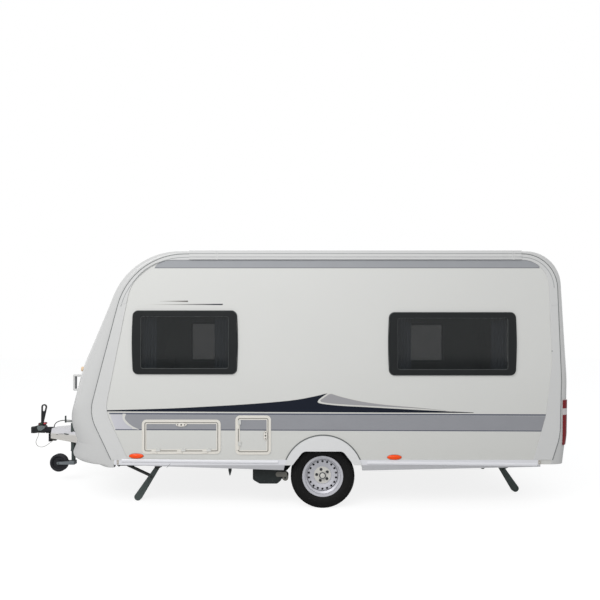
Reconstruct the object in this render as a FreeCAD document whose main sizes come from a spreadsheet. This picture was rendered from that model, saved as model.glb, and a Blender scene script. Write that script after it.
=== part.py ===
import FreeCAD, Part
import math
import os
from FreeCAD import Rotation, Vector

# Travel caravan, 2.3 m wide, on one axle, parked on its wheels and four corner steadies.
# +X points to the rear, +Y to the door side, +Z up. The ground is Z = 0.

os.makedirs("parts", exist_ok=True)
doc = FreeCAD.newDocument("TravelCaravan")
dim = doc.addObject("Spreadsheet::Sheet", "dim")
dim_row = 0


def sizes(heading, **cells):
    """Write one block of driving dimensions to the sheet, in millimetres."""
    global dim_row
    dim_row += 1
    dim.set("A%d" % dim_row, heading)
    for alias, value in cells.items():
        dim_row += 1
        dim.set("A%d" % dim_row, alias)
        dim.set("B%d" % dim_row, str(value))
        dim.setAlias("B%d" % dim_row, alias)
    doc.recompute()


def at(alias):
    """The value of one cell."""
    return float(dim.get(alias))


# Driving dimensions

sizes("Body shell", half_width=1150, wall=30, floor_under=440, floor_thick=44, roof_edge=2428, roof_mid=2492,
      tail_corner=80, cheek_power=3, panel_step=2)
sizes("Nose, at the side seam", seam_foot_x=-1478, seam_lip_x=-1707, seam_lip_z=918, seam_bend_x=-1592,
      seam_brow_x=-1308, seam_lip_round=370, seam_brow_round=655)
sizes("Nose, on the centre line", nose_foot_x=-1950, nose_lip_x=-2056, nose_lip_z=825, nose_bend_x=-1916,
      nose_bend_z=1362, nose_brow_x=-1352, nose_lip_round=330, nose_bend_round=400, nose_brow_round=705)
sizes("Tail, at the side seam", seam_tail_top_x=2700, seam_tail_mid_x=2750, seam_tail_low_x=2738,
      seam_tail_foot_x=2650, tail_mid_z=1250, tail_low_z=710, tail_top_round=330, tail_mid_round=1500)
sizes("Tail, on the centre line", tail_top_x=2752, tail_mid_x=2830, tail_low_x=2822, tail_foot_x=2790,
      tail_low_round=600)
sizes("Panel joints", nose_joint_z=1960, nose_joint_x=-900, tail_joint_z=1940, tail_joint_x=2300)
sizes("Corner trims", trim_proud=6, trim_foot_x=-1340, trim_lip_x=-1556, trim_lip_z=952, trim_brow_x=-1272,
      trim_top=2370, trim_lip_round=300, trim_brow_round=440, trim_tail_top_x=2620, trim_tail_mid_x=2662,
      trim_tail_low_x=2604, trim_tail_foot_x=2486, trim_tail_mid_z=1400, trim_tail_low_z=905, trim_tail_round=250)
sizes("Roof rails", rail_low=2370, rail_high=2457, rail_proud=14, rail_front_x=-760, rail_rear_x=2370)
sizes("Side windows", window_wide_front=968, window_high_front=589, window_wide_rear=1180, window_high_rear=584,
      window_front_x=-804, window_rear_x=1721.5, window_right_x=-950, window_wide_right=630,
      window_front_z=1591.5, window_rear_z=1578, window_round=45,
      frame_side=70, frame_band=48, frame_proud=18, pane_thick=6)
sizes("Nose and tail windows", end_window_half=720, end_window_low=1480, end_window_high=1900,
      end_frame=40, end_window_round=50, tail_window_low=1300, tail_window_high=1820)
sizes("Storage flap", storage_wide=680, storage_high=260, storage_x=-836.5, storage_z=701)
sizes("Service flap", service_wide=272, service_high=306, service_x=-158.5, service_z=717)
sizes("Flap details", flap_gap=8, flap_frame=24, flap_proud=6, hinge_proud=8, knuckle_radius=5,
      knuckle_long=40, knuckle_gap=0.3)
sizes("Entrance door", door_wide=600, door_high=1690, door_front_x=-560, door_foot=484, door_gap=8,
      door_window_low=1350, door_window_high=1850, door_window_wide=380)
sizes("Gas locker", lid_half=745, lid_low=695, lid_high=1285, lid_gap=6, bulkhead_x=-1450, bulkhead_thick=20,
      shelf_under=1350)
sizes("Wheel", axle_x=500.5, wheel_radius=307, tyre_wide=185, rim_flange=195.5, rim_wide=160, rim_seat=178,
      wheel_y=995, disc_out=30, disc_thick=8, vent_ring=133, vent_radius=11, vent_count=18, hub_nose=32)
sizes("Wheel arch", arch_half_low=379, arch_half_top=188, arch_top=566, arch_ring=374, arch_ring_z=337,
      arch_proud=22, arch_foot=436, box_half=400, box_inner_y=840, box_top=720, box_thick=10)
sizes("Skirts", strip_high=483, strip_proud=10, apron_thick=24, skirt_front_x=-1468,
      skirt_rear_x=2548, apron_front=446, apron_wheel=376, apron_rear=420)
sizes("Chassis", rail_deep=120, rail_flange=50, rail_web=6, rail_y=520, tow_rail_y=60, rail_bend_x=-1455,
      rail_level_x=-2050, rail_front=-2300, rail_tail_x=2330, tow_rail_z=540, cross_wide=50)
sizes("Axle", beam_radius=48, beam_z=352, beam_ahead=170, beam_half=838, arm_eye=40, arm_thick=36,
      stub_radius=17.5, drum_radius=126, drum_wide=61, bearing_gap=0.3, plate_radius=122)
sizes("Coupling", ball_radius=25, ball_x=-2795.5, head_radius=38, head_low=538, head_high=618, head_rear_x=-2659,
      socket_deep=52, shaft_radius=25, shaft_z=570, housing_front_x=-2570, housing_rear_x=-2190,
      housing_half=35, housing_low=490, housing_high=596, bellows_radius=37)
sizes("Drawbar cover", cover_front_x=-2564, cover_rear_x=-1970, cover_front_half=95, cover_rear_half=330,
      cover_front_top=600, cover_rear_top=636, cover_front_low=490, cover_rear_low=446, cover_thick=4)
sizes("Jockey wheel", jockey_x=-2280, jockey_y=-150, sleeve_radius=28, stem_radius=22, stem_low=252,
      stem_high=590, sleeve_low=360, sleeve_high=676, fork_reach=160, jockey_z=227, jockey_radius=100,
      jockey_wide=60, fork_thick=5, jockey_pin=8)
sizes("Corner steadies", steady_front_x=-1150, steady_rear_x=2377, steady_front_y=805, steady_rear_y=500,
      steady_pivot_z=338, steady_splay=33, leg_eye=20, leg_foot=36, leg_half=22, leg_plate=4, strut_at=115,
      nut_ahead=300, nut_z=352, spindle_radius=7, strut_eye=11, strut_plate=5, steady_pin=6, pin_gap=0.3)
sizes("Manoeuvring drive", drive_front_x=-170, drive_rear_x=105, drive_low=236, drive_high=380, roller_radius=28,
      roller_long=150, roller_x=142, roller_z=292, drive_tube=20)
sizes("Inside", bench_high=420, bench_deep=640, pad_thick=120, pad_gap=0.4, pad_inset=20, board=20,
      bed_rear_x=-440, bed_far_y=400, counter_high=900, kitchen_front_x=20, kitchen_rear_x=1020, kitchen_deep=540,
      wardrobe_front_x=100, wardrobe_rear_x=700, seat_front_x=1150, seat_rear_x=2600, locker_low=1990,
      locker_high=2290, locker_deep=330, locker_front_x=-900, locker_rear_x=2400, service_box_front_x=-320,
      service_box_rear_x=0, service_box_deep=620, service_box_high=416, curtain_wide=150, curtain_thick=24,
      curtain_low=1257, curtain_ends=60)
sizes("Lamps and small fittings", marker_wide=137, marker_high=47, marker_proud=16, marker_front_x=-1262,
      marker_front_z=519.5, marker_rear_x=1174, marker_rear_z=507.5, tail_lamp_low=622, tail_lamp_high=1047,
      plate_wide=520, plate_high=110)
sizes("Cables", lead_radius=5, brake_cable_radius=2.5)


# Shapes used again and again

def rounded(corners, y=0.0, closed=True):
    """Edges of a polygon in the XZ plane whose corners (x, z, radius) are rounded by tangent arcs."""
    points = [Vector(x, y, z) for x, z, radius in corners]
    count = len(points)
    runs = []
    for i in range(count):
        radius = corners[i][2]
        if radius <= 0 or (not closed and i in (0, count - 1)):
            runs.append([points[i]])
            continue
        back = (points[i - 1] - points[i]).normalize()
        ahead = (points[(i + 1) % count] - points[i]).normalize()
        half = back.getAngle(ahead) / 2
        reach = radius / math.tan(half)
        middle = (back + ahead).normalize() * (radius / math.sin(half) - radius)
        runs.append([points[i] + back * reach, points[i] + middle, points[i] + ahead * reach])
    edges = []
    for i in range(count):
        run = runs[i]
        if len(run) == 3:
            edges.append(Part.Arc(run[0], run[1], run[2]).toShape())
        if closed or i < count - 1:
            edges.append(Part.LineSegment(run[-1], runs[(i + 1) % count][0]).toShape())
    return edges


def prism(corners, y_low, y_high):
    """A rounded XZ polygon carried along Y."""
    face = Part.Face(Part.Wire(rounded(corners, y_low)))
    return face.extrude(Vector(0, y_high - y_low, 0))


def block(x_low, x_high, y_low, y_high, z_low, z_high):
    """A plain box between two corners."""
    return Part.makeBox(x_high - x_low, y_high - y_low, z_high - z_low, Vector(x_low, y_low, z_low))


def rod(start, end, radius):
    """A round bar from one point to another."""
    return Part.makeCylinder(radius, (end - start).Length, start, end - start)


def tagged(label, shape):
    """One sub-part made in code, as a document object."""
    item = doc.addObject("Part::Feature", label)
    item.Label = label
    item.Shape = shape
    return item


def compound(shapes):
    """Like pieces that share a node without touching."""
    return Part.makeCompound(shapes)


BOW_ROUND = 900


def window_corners(centre_x, centre_z, wide, high, radius, bow=0.0):
    """A rectangle with rounded corners, its short sides bowed outwards by a little."""
    bow_round = BOW_ROUND if bow else 0
    left, right = centre_x - wide / 2, centre_x + wide / 2
    low, top = centre_z - high / 2, centre_z + high / 2
    return [(left, low, radius), (left - bow, centre_z, bow_round), (left, top, radius), (right, top, radius),
            (right + bow, centre_z, bow_round), (right, low, radius)]


def bar(start, start_radius, end, end_radius, y_low, y_high):
    """A flat link with two round ends of different radius, thick along Y."""
    along = end - start
    lean = math.asin((start_radius - end_radius) / along.Length)
    heading = math.atan2(along.z, along.x)
    sides = []
    for turn in (math.pi / 2 - lean, -(math.pi / 2 - lean)):
        out = Vector(math.cos(heading + turn), 0, math.sin(heading + turn))
        sides.append((start + out * start_radius, end + out * end_radius))
    corners = [(p.x, p.z, 0) for p in (sides[0][0], sides[0][1], sides[1][1], sides[1][0])]
    ends = [Part.makeCylinder(radius, y_high - y_low, Vector(p.x, y_low, p.z), Vector(0, 1, 0))
            for p, radius in ((start, start_radius), (end, end_radius))]
    return prism(corners, y_low, y_high).multiFuse(ends).removeSplitter()


# Body shell, one hollow form that the panels are split from

HALF = at("half_width")
WALL = at("wall")
FLOOR_UNDER = at("floor_under")
FLOOR_TOP = FLOOR_UNDER + at("floor_thick")
CLEAR_BELOW = 120
SEAM_BEND_ROUND = 3000
STATIONS = [0, 0.5, 2.5, 7, 15, 28, 45, 67, 95, 150, 290, 520, 820, 1150]

seam = [(at("seam_foot_x"), FLOOR_UNDER, 0), (at("seam_lip_x"), at("seam_lip_z"), at("seam_lip_round")),
        (at("seam_bend_x"), at("nose_bend_z"), SEAM_BEND_ROUND),
        (at("seam_brow_x"), at("roof_edge"), at("seam_brow_round")),
        (at("seam_tail_top_x"), at("roof_edge"), at("tail_top_round")),
        (at("seam_tail_mid_x"), at("tail_mid_z"), at("tail_mid_round")),
        (at("seam_tail_low_x"), at("tail_low_z"), at("tail_low_round")),
        (at("seam_tail_foot_x"), FLOOR_UNDER, 0)]
centre = [(at("nose_foot_x"), FLOOR_UNDER, 0), (at("nose_lip_x"), at("nose_lip_z"), at("nose_lip_round")),
          (at("nose_bend_x"), at("nose_bend_z"), at("nose_bend_round")),
          (at("nose_brow_x"), at("roof_mid"), at("nose_brow_round")),
          (at("tail_top_x"), at("roof_mid"), at("tail_top_round")),
          (at("tail_mid_x"), at("tail_mid_z"), at("tail_mid_round")),
          (at("tail_low_x"), at("tail_low_z"), at("tail_low_round")),
          (at("tail_foot_x"), FLOOR_UNDER, 0)]
NOSE_CORNERS = 4


def inset(corners, depth, below=0.0):
    """The outline moved inwards by depth, and its bottom side moved down by below."""
    count = len(corners)
    lines = []
    for i in range(count):
        start = Vector(corners[i][0], corners[i][1], 0)
        along = (Vector(corners[(i + 1) % count][0], corners[(i + 1) % count][1], 0) - start).normalize()
        move = depth if i < count - 1 else -below
        lines.append((start + Vector(along.y, -along.x, 0) * move, along))
    moved = []
    for i in range(count):
        (p, u), (q, v) = lines[i - 1], lines[i]
        step = ((q.x - p.x) * v.y - (q.y - p.y) * v.x) / (u.x * v.y - u.y * v.x)
        moved.append((p.x + u.x * step, p.y + u.y * step, max(0, corners[i][2] - depth)))
    return moved


def body_form(half, at_side, at_centre):
    """A solid whose outline goes from at_side on the side planes to at_centre in the middle."""
    wires = []
    offsets = [half - half * d / STATIONS[-1] if d > at("tail_corner") else half - d for d in STATIONS]
    for y in offsets + [-y for y in reversed(offsets[:-1])]:
        share = (1 - min(1, abs(y) / half) ** at("cheek_power")) ** (1 / at("cheek_power"))
        edge = min(1, (half - abs(y)) / at("tail_corner"))
        tail_share = math.sqrt(1 - (1 - edge) ** 2)
        corners = []
        for i, (side, middle) in enumerate(zip(at_side, at_centre)):
            x_share = share if i < NOSE_CORNERS else tail_share
            z_share = share if i <= NOSE_CORNERS else tail_share
            corners.append((side[0] + (middle[0] - side[0]) * x_share, side[1] + (middle[1] - side[1]) * z_share,
                            side[2] + (middle[2] - side[2]) * x_share))
        wires.append(Part.Wire(rounded(corners, y)))
    return Part.makeLoft(wires, True, False)


outer_form = body_form(HALF, seam, centre)
inner_form = body_form(HALF - WALL, inset(seam, WALL, CLEAR_BELOW), inset(centre, WALL, CLEAR_BELOW))
shell = outer_form.cut(inner_form)
seam_prism = prism(inset(seam, at("panel_step"), CLEAR_BELOW), -HALF - WALL, HALF + WALL)
side_walls = shell.common(seam_prism)
end_ring = shell.cut(seam_prism)


# Flat pieces drawn on the side planes

def plate(label, outlines, y_top, thick):
    """A body padded towards -Y from the plane y_top; later outlines are holes in the first one."""
    body = doc.addObject("PartDesign::Body", label)
    sketch = body.newObject("Sketcher::SketchObject", label + "_outline")
    plane = [item for item in body.Origin.OriginFeatures if item.Role == "XZ_Plane"][0]
    sketch.AttachmentSupport = [(plane, "")]
    sketch.MapMode = "FlatFace"
    for outline in outlines:
        for edge in rounded(outline):
            curve = edge.Curve
            ends = [Vector(v.Point.x, v.Point.z, 0) for v in edge.Vertexes]
            if curve.TypeId == "Part::GeomCircle":
                half_way = edge.valueAt((edge.FirstParameter + edge.LastParameter) / 2)
                sketch.addGeometry(Part.Arc(ends[0], Vector(half_way.x, half_way.z, 0), ends[1]))
            else:
                sketch.addGeometry(Part.LineSegment(ends[0], ends[1]))
    pad = body.newObject("PartDesign::Pad", label + "_pad")
    pad.Profile = sketch
    pad.setExpression("Length", thick)
    body.setExpression("Placement.Base.y", y_top)
    sketch.Visibility = False
    return body


def group(label, items):
    """Several objects under one node name."""
    for item in items:
        item.Visibility = False
    holder = doc.addObject("Part::Compound", label)
    holder.Links = items
    return holder


# Windows in the side walls: a dark frame on the wall's face and a tinted pane in it

def window_sizes(centre_x, centre_z, wide, high):
    """The frame's outer outline, the pane's outline and the hole in the wall."""
    bow = at("window_round") / 4
    inner_wide, inner_high = wide - 2 * at("frame_side"), high - 2 * at("frame_band")
    outer = window_corners(centre_x, centre_z, wide, high, at("window_round"), bow)
    pane = window_corners(centre_x, centre_z, inner_wide, inner_high, at("window_round") / 2)
    hole = window_corners(centre_x, centre_z, inner_wide + WALL, inner_high + WALL, at("window_round"))
    return outer, pane, hole


left_windows = [window_sizes(at("window_front_x"), at("window_front_z"), at("window_wide_front"),
                             at("window_high_front")),
                window_sizes(at("window_rear_x"), at("window_rear_z"), at("window_wide_rear"),
                             at("window_high_rear"))]
right_windows = [window_sizes(at("window_right_x"), at("window_front_z"), at("window_wide_right"),
                              at("window_high_front")),
                 window_sizes(at("window_rear_x"), at("window_rear_z"), at("window_wide_rear"),
                              at("window_high_rear"))]
frames, panes, left_holes, right_holes = [], [], [], []
for side, windows, holes in ((-1, left_windows, left_holes), (1, right_windows, right_holes)):
    for number, (outer, pane, hole) in enumerate(windows):
        name = "%s_%d" % ("left" if side < 0 else "right", number)
        frame_top = "dim.half_width + dim.frame_proud" if side > 0 else "-dim.half_width"
        pane_top = "%d * (dim.half_width + dim.frame_proud / 2) + dim.pane_thick / 2" % side
        frames.append(plate("frame_" + name, [outer, pane], frame_top, "dim.frame_proud"))
        panes.append(plate("pane_" + name, [pane], pane_top, "dim.pane_thick"))
        holes.append(hole)


# Flaps and doors that hang in the side walls

def panel_corners(centre_x, centre_z, wide, high, radius=0.0):
    """A plain or rounded rectangle in the XZ plane."""
    return [(centre_x - wide / 2, centre_z - high / 2, radius), (centre_x - wide / 2, centre_z + high / 2, radius),
            (centre_x + wide / 2, centre_z + high / 2, radius), (centre_x + wide / 2, centre_z - high / 2, radius)]


GAP = at("flap_gap")
LEAF_ROUND = 12
storage = (at("storage_x"), at("storage_z"), at("storage_wide"), at("storage_high"))
service = (at("service_x"), at("service_z"), at("service_wide"), at("service_high"))
door_x = at("door_front_x") + at("door_wide") / 2
door_z = at("door_foot") + at("door_high") / 2
door = (door_x, door_z, at("door_wide"), at("door_high"))


def grown(panel, by, radius=LEAF_ROUND):
    """The same rectangle, larger by one margin all round."""
    return panel_corners(panel[0], panel[1], panel[2] + 2 * by, panel[3] + 2 * by, radius + by)


left_holes += [grown(storage, GAP), grown(service, GAP)]
right_holes += [grown(door, at("door_gap"))]
frame_solids = [plate("storage_frame", [grown(storage, GAP + at("flap_frame")), grown(storage, GAP)],
                      "-dim.half_width", "dim.flap_proud"),
                plate("service_frame", [grown(service, GAP + at("flap_frame")), grown(service, GAP)],
                      "-dim.half_width", "dim.flap_proud")]
storage_leaf = plate("storage_leaf", [grown(storage, 0)], "dim.wall - dim.half_width", "dim.wall")
service_leaf = plate("service_leaf", [grown(service, 0)], "dim.wall - dim.half_width", "dim.wall")
door_window = panel_corners(door_x, (at("door_window_low") + at("door_window_high")) / 2, at("door_window_wide"),
                            at("door_window_high") - at("door_window_low"), at("window_round"))
door_leaf = plate("door_leaf", [grown(door, 0), door_window], "dim.half_width", "dim.wall")
door_pane = plate("door_pane", [door_window], "dim.half_width - dim.wall / 2 + dim.pane_thick / 2",
                  "dim.pane_thick")
doc.recompute()


def slab(a, b):
    """A box between any two opposite corners."""
    low = [min(p, q) for p, q in zip(a, b)]
    high = [max(p, q) for p, q in zip(a, b)]
    return block(low[0], high[0], low[1], high[1], low[2], high[2])


def knuckles(pin, along, fixed_way, moving_way, out, fixed_back, moving_back):
    """One hinge: a fixed and a moving knuckle end to end on the pin line, each with its leaf.

    along is the pin's direction, the ways point over the fixed and the moving panel, out points away
    from the panel's face, and the backs are how far behind the pin each leaf seats.
    """
    long, radius, thick = at("knuckle_long"), at("knuckle_radius"), at("knuckle_radius") * 0.4
    half_gap = at("knuckle_gap") / 2
    pair = []
    for sign, way, back in ((-1, fixed_way, fixed_back), (1, moving_way, moving_back)):
        near, far = pin + along * (sign * half_gap), pin + along * (sign * long)
        barrel = rod(near, far, radius)
        leaf = slab(near + out * thick, far + way - out * back)
        pair.append(barrel.fuse(leaf).removeSplitter())
    return pair


X_WAY, Y_WAY, Z_WAY = Vector(1, 0, 0), Vector(0, 1, 0), Vector(0, 0, 1)
PROUD = at("hinge_proud")
LEAF_REACH = 22
PIN_INSET = 2
storage_pin = Vector(at("storage_x"), -HALF - PROUD, at("storage_z") - at("storage_high") / 2 - PIN_INSET)
service_pin = Vector(at("service_x") - at("service_wide") / 2 - PIN_INSET, -HALF - PROUD, at("service_z"))
door_pin = Vector(at("door_front_x") - PIN_INSET, HALF + PROUD, door_z)
flap_hinges = [knuckles(storage_pin + X_WAY * shift, X_WAY, -Z_WAY * LEAF_REACH, Z_WAY * LEAF_REACH, -Y_WAY,
                        PROUD - at("flap_proud"), PROUD) for shift in (-240, 0, 240)]
service_hinges = [knuckles(service_pin + Z_WAY * shift, Z_WAY, -X_WAY * LEAF_REACH, X_WAY * LEAF_REACH, -Y_WAY,
                           PROUD - at("flap_proud"), PROUD) for shift in (-100, 100)]
door_hinges = [knuckles(door_pin + Z_WAY * shift, Z_WAY, -X_WAY * LEAF_REACH, X_WAY * LEAF_REACH, Y_WAY,
                        PROUD, PROUD) for shift in (-700, 0, 700)]

nodes = {}


def keep(label, item):
    """Give an object its node name and put it on the list that is written out."""
    item.Label = label
    nodes[label] = item


fixed_frames = [frame_solids[0].Shape.multiFuse([pair[0] for pair in flap_hinges]),
                frame_solids[1].Shape.multiFuse([pair[0] for pair in service_hinges])]
keep("flap_frames", tagged("flap_frames_shape", compound(fixed_frames)))
storage_shape = storage_leaf.Shape.multiFuse([pair[1] for pair in flap_hinges])
keep("storage_flap", tagged("storage_flap_shape", storage_shape))
keep("service_flap", tagged("service_flap_shape",
                            service_leaf.Shape.multiFuse([pair[1] for pair in service_hinges])))
keep("door", tagged("door_shape", door_leaf.Shape.multiFuse([pair[1] for pair in door_hinges])))
keep("door_glass", door_pane)

# Side walls with their window holes, flap holes and wheel arches

AXLE_X = at("axle_x")
arch = [(AXLE_X - at("arch_half_low"), FLOOR_UNDER - CLEAR_BELOW, 0),
        (AXLE_X - at("arch_half_top"), at("arch_top"), 60), (AXLE_X + at("arch_half_top"), at("arch_top"), 60),
        (AXLE_X + at("arch_half_low"), FLOOR_UNDER - CLEAR_BELOW, 0)]
for side, label, holes in ((-1, "side_wall_left", left_holes), (1, "side_wall_right", right_holes)):
    wall_solid = [solid for solid in side_walls.Solids if solid.CenterOfMass.y * side > 0][0]
    cuts = [prism(hole, side * HALF - 2 * WALL, side * HALF + 2 * WALL) for hole in holes + [arch]]
    wall_solid = wall_solid.cut(compound(cuts))
    if side > 0:
        wall_solid = wall_solid.multiFuse([pair[0] for pair in door_hinges])
    keep(label, tagged(label + "_shape", wall_solid))

# End panels: the moulded nose, the tail, and the roof that turns down to meet both

FAR = 3000
SIDE = HALF + 2 * WALL


def cross_prism(corners, x_low, x_high):
    """A rounded YZ polygon carried along X."""
    return prism(corners, -x_high, -x_low).rotate(Vector(0, 0, 0), Vector(0, 0, 1), 90)


def nose_face(y, z):
    """X of the body's outer face at a point of the nose."""
    return Part.makeLine(Vector(-FAR, y, z), Vector(0, y, z)).common(outer_form).BoundBox.XMin


nose_zone = block(-FAR, at("nose_joint_x"), -SIDE, SIDE, FLOOR_UNDER, at("nose_joint_z"))
tail_zone = block(at("tail_joint_x"), FAR, -SIDE, SIDE, FLOOR_UNDER, at("tail_joint_z"))
roof_shape = end_ring.cut(nose_zone).cut(tail_zone)
nose_shape = end_ring.common(nose_zone)
tail_shape = end_ring.common(tail_zone)

PROUD_SKIN = 6
proud_form = body_form(HALF + PROUD_SKIN, inset(seam, -PROUD_SKIN, PROUD_SKIN),
                       inset(centre, -PROUD_SKIN, PROUD_SKIN))
skin = proud_form.cut(outer_form)


def end_window(low, high, half, x_low, x_high):
    """Zones of an end window's hole, its frame ring and its pane, carried along X."""
    border, radius = at("end_frame"), at("end_window_round")
    wide, middle = 2 * half, (low + high) / 2
    outer = cross_prism(panel_corners(0, middle, wide, high - low, radius), x_low, x_high)
    inner = cross_prism(panel_corners(0, middle, wide - 2 * border, high - low - 2 * border, radius / 2), x_low, x_high)
    return outer, inner


nose_window_zone, nose_pane_zone = end_window(at("end_window_low"), at("end_window_high"), at("end_window_half"),
                                              -FAR, at("nose_joint_x"))
tail_window_zone, tail_pane_zone = end_window(at("tail_window_low"), at("tail_window_high"),
                                              at("end_window_half"), at("tail_joint_x"), FAR)
end_frames = [nose_shape.fuse(skin.common(nose_window_zone)).common(nose_window_zone).cut(nose_pane_zone),
              tail_shape.fuse(skin.common(tail_window_zone)).common(tail_window_zone).cut(tail_pane_zone)]
end_panes = [nose_shape.common(nose_pane_zone), tail_shape.common(tail_pane_zone)]
keep("window_frames", group("window_frames", frames + [tagged("end_frames", compound(end_frames))]))
keep("window_panes", group("window_panes", panes + [tagged("end_panes", compound(end_panes))]))

# Gas locker: a lid in the nose, hung at its top edge, before a bulkhead and a shelf

lid_half, lid_low, lid_high, lid_gap = (at(name) for name in ("lid_half", "lid_low", "lid_high", "lid_gap"))
lid_zone = block(-FAR, at("bulkhead_x"), -lid_half, lid_half, lid_low, lid_high)
lid_opening = block(-FAR, at("bulkhead_x"), -lid_half - lid_gap, lid_half + lid_gap, lid_low - lid_gap,
                    lid_high + lid_gap)
LID_HINGE_Y = 500
lid_pin_z = lid_high + PIN_INSET
lid_pin_x = nose_face(0, lid_pin_z) - PROUD
lid_pins = []
for y in (-LID_HINGE_Y, LID_HINGE_Y):
    pin = Vector(lid_pin_x, y, lid_pin_z)
    seat = nose_face(y, lid_pin_z) - lid_pin_x + PROUD
    lid_pins.append(knuckles(pin, Y_WAY, Z_WAY * LEAF_REACH, -Z_WAY * LEAF_REACH, -X_WAY, seat + WALL / 2, seat))
lid_shape = nose_shape.common(lid_zone).multiFuse([pair[1] for pair in lid_pins])
DRAW_SLOT = at("cover_rear_half") + 6
draw_slot = block(-FAR, at("bulkhead_x"), -DRAW_SLOT, DRAW_SLOT, FLOOR_UNDER - CLEAR_BELOW,
                  at("cover_rear_top") + 6)
nose_shape = nose_shape.cut(compound([nose_window_zone, lid_opening])).cut(draw_slot)
nose_shape = nose_shape.multiFuse([pair[0] for pair in lid_pins])
keep("nose_panel", tagged("nose_panel_shape", nose_shape))
keep("gas_lid", tagged("gas_lid_shape", lid_shape))
keep("tail_panel", tagged("tail_panel_shape", tail_shape.cut(tail_window_zone)))

# The apron closes the nose below the lid and runs back under it

APRON_RISE = [(630, 2), (590, 36), (555, 63), (514, 98), (478, 108), (450, 64), (436, -46), (425, -180),
              (415, -300)]


def apron_section(z, proud, half):
    """The nose's plan outline at one height, moved out on the centre line."""
    slope = (at("seam_lip_x") - at("seam_foot_x")) / (at("seam_lip_z") - FLOOR_UNDER)
    side_x = at("seam_foot_x") + slope * max(0, z - FLOOR_UNDER)
    lean = (at("nose_lip_x") - at("nose_foot_x")) / (at("nose_lip_z") - FLOOR_UNDER)
    middle_x = at("nose_foot_x") + lean * max(0, z - FLOOR_UNDER) - proud
    points = []
    for d in STATIONS[1:]:
        inwards = 1 - d / STATIONS[-1]
        share = (1 - inwards ** at("cheek_power")) ** (1 / at("cheek_power"))
        points.append((half * inwards, side_x + (middle_x - side_x) * share))
    curve = [Vector(side_x, -half, z)] + [Vector(x, -y, z) for y, x in points]
    curve += [Vector(x, y, z) for y, x in reversed(points[:-1])] + [Vector(side_x, half, z)]
    front = Part.BSplineCurve()
    front.interpolate(curve)
    back_x = at("seam_foot_x") + at("panel_step")
    back = [curve[-1], Vector(back_x, half, z), Vector(back_x, -half, z), curve[0]]
    sides = [Part.LineSegment(a, b).toShape() for a, b in zip(back, back[1:])]
    return Part.Wire([front.toShape()] + sides)


apron_shape = Part.makeLoft([apron_section(z, proud, HALF) for z, proud in APRON_RISE], True, False)
APRON_HOLLOW, HOLLOW_LOW = [(-1400, 1090), (-1690, 1090), (-1760, 1000), (-1880, 700)], 380
hollow_plan = [Vector(x, y, HOLLOW_LOW) for x, y in APRON_HOLLOW]
hollow_plan += [Vector(x, -y, HOLLOW_LOW) for x, y in reversed(APRON_HOLLOW)]
hollow_face = Part.Face(Part.makePolygon(hollow_plan + hollow_plan[:1]))
apron_hollow = hollow_face.extrude(Z_WAY * (FLOOR_UNDER - HOLLOW_LOW))
apron_shape = apron_shape.cut(apron_hollow).cut(draw_slot).cut(outer_form)
keep("nose_apron", tagged("nose_apron_shape", apron_shape))

# Roof panel with its two roof lights

ROOF_LIGHTS = [(-350, 0, 700, 500), (1700, 0, 400, 400)]
LIGHT_TOP = at("roof_mid") + 62
light_shapes, light_holes = [], []
for x, y, long, wide in ROOF_LIGHTS:
    hole = block(x - long / 2, x + long / 2, y - wide / 2, y + wide / 2, at("roof_edge"), LIGHT_TOP)
    light_holes.append(hole)
    dome = Part.makeBox(long + 60, wide + 60, LIGHT_TOP - at("roof_edge"),
                        Vector(x - long / 2 - 30, y - wide / 2 - 30, at("roof_edge")))
    dome = dome.makeFillet(26, [edge for edge in dome.Edges if edge.BoundBox.ZMax > at("roof_edge") + 1])
    light_shapes.append(dome.cut(outer_form))
keep("rooflights", tagged("rooflights_shape", compound(light_shapes)))
keep("roof_panel", tagged("roof_panel_shape", roof_shape.cut(compound(light_holes))))

# Floor, wheel boxes and locker bulkhead

box_zones, box_shells = [], []
for side in (-1, 1):
    zone = slab((AXLE_X - at("box_half"), side * (HALF - WALL), FLOOR_UNDER),
                (AXLE_X + at("box_half"), side * at("box_inner_y"), at("box_top")))
    thick = at("box_thick")
    hollow = slab((AXLE_X - at("box_half") + thick, side * (HALF - WALL), FLOOR_UNDER),
                  (AXLE_X + at("box_half") - thick, side * (at("box_inner_y") + thick), at("box_top") - thick))
    box_zones.append(zone)
    box_shells.append(zone.cut(hollow))
floor_shape = inner_form.common(block(at("bulkhead_x"), FAR, -SIDE, SIDE, FLOOR_UNDER, FLOOR_TOP))
floor_shape = floor_shape.cut(compound(box_zones)).multiFuse(box_shells).removeSplitter()
keep("floor_panel", tagged("floor_panel_shape", floor_shape))
TOW_TOP = at("tow_rail_z") + at("rail_deep") / 2
LOCKER_FLOOR = 12
bulkhead_back = at("bulkhead_x") + at("bulkhead_thick")
bulkhead = block(at("bulkhead_x"), bulkhead_back, -SIDE, SIDE, FLOOR_TOP, at("shelf_under"))
shelf = block(-FAR, bulkhead_back, -SIDE, SIDE, at("shelf_under"), at("shelf_under") + at("bulkhead_thick"))
locker_floor = block(-FAR, at("bulkhead_x"), -SIDE, SIDE, TOW_TOP, TOW_TOP + LOCKER_FLOOR)
locker = inner_form.common(bulkhead.multiFuse([shelf, locker_floor]))
keep("gas_bulkhead", tagged("gas_bulkhead_shape", locker))

# Corner trims, roof rails, skirts and wheel arch trims on the side planes

seam_line = inset(seam, at("panel_step"))
TRIM_LOW = at("strip_high") + 0.5


def foot_point(low, high):
    """The point of an outline's foot run that lies at the trims' lower edge."""
    return (low[0] + (high[0] - low[0]) * (TRIM_LOW - low[1]) / (high[1] - low[1]), TRIM_LOW, 0)


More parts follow.
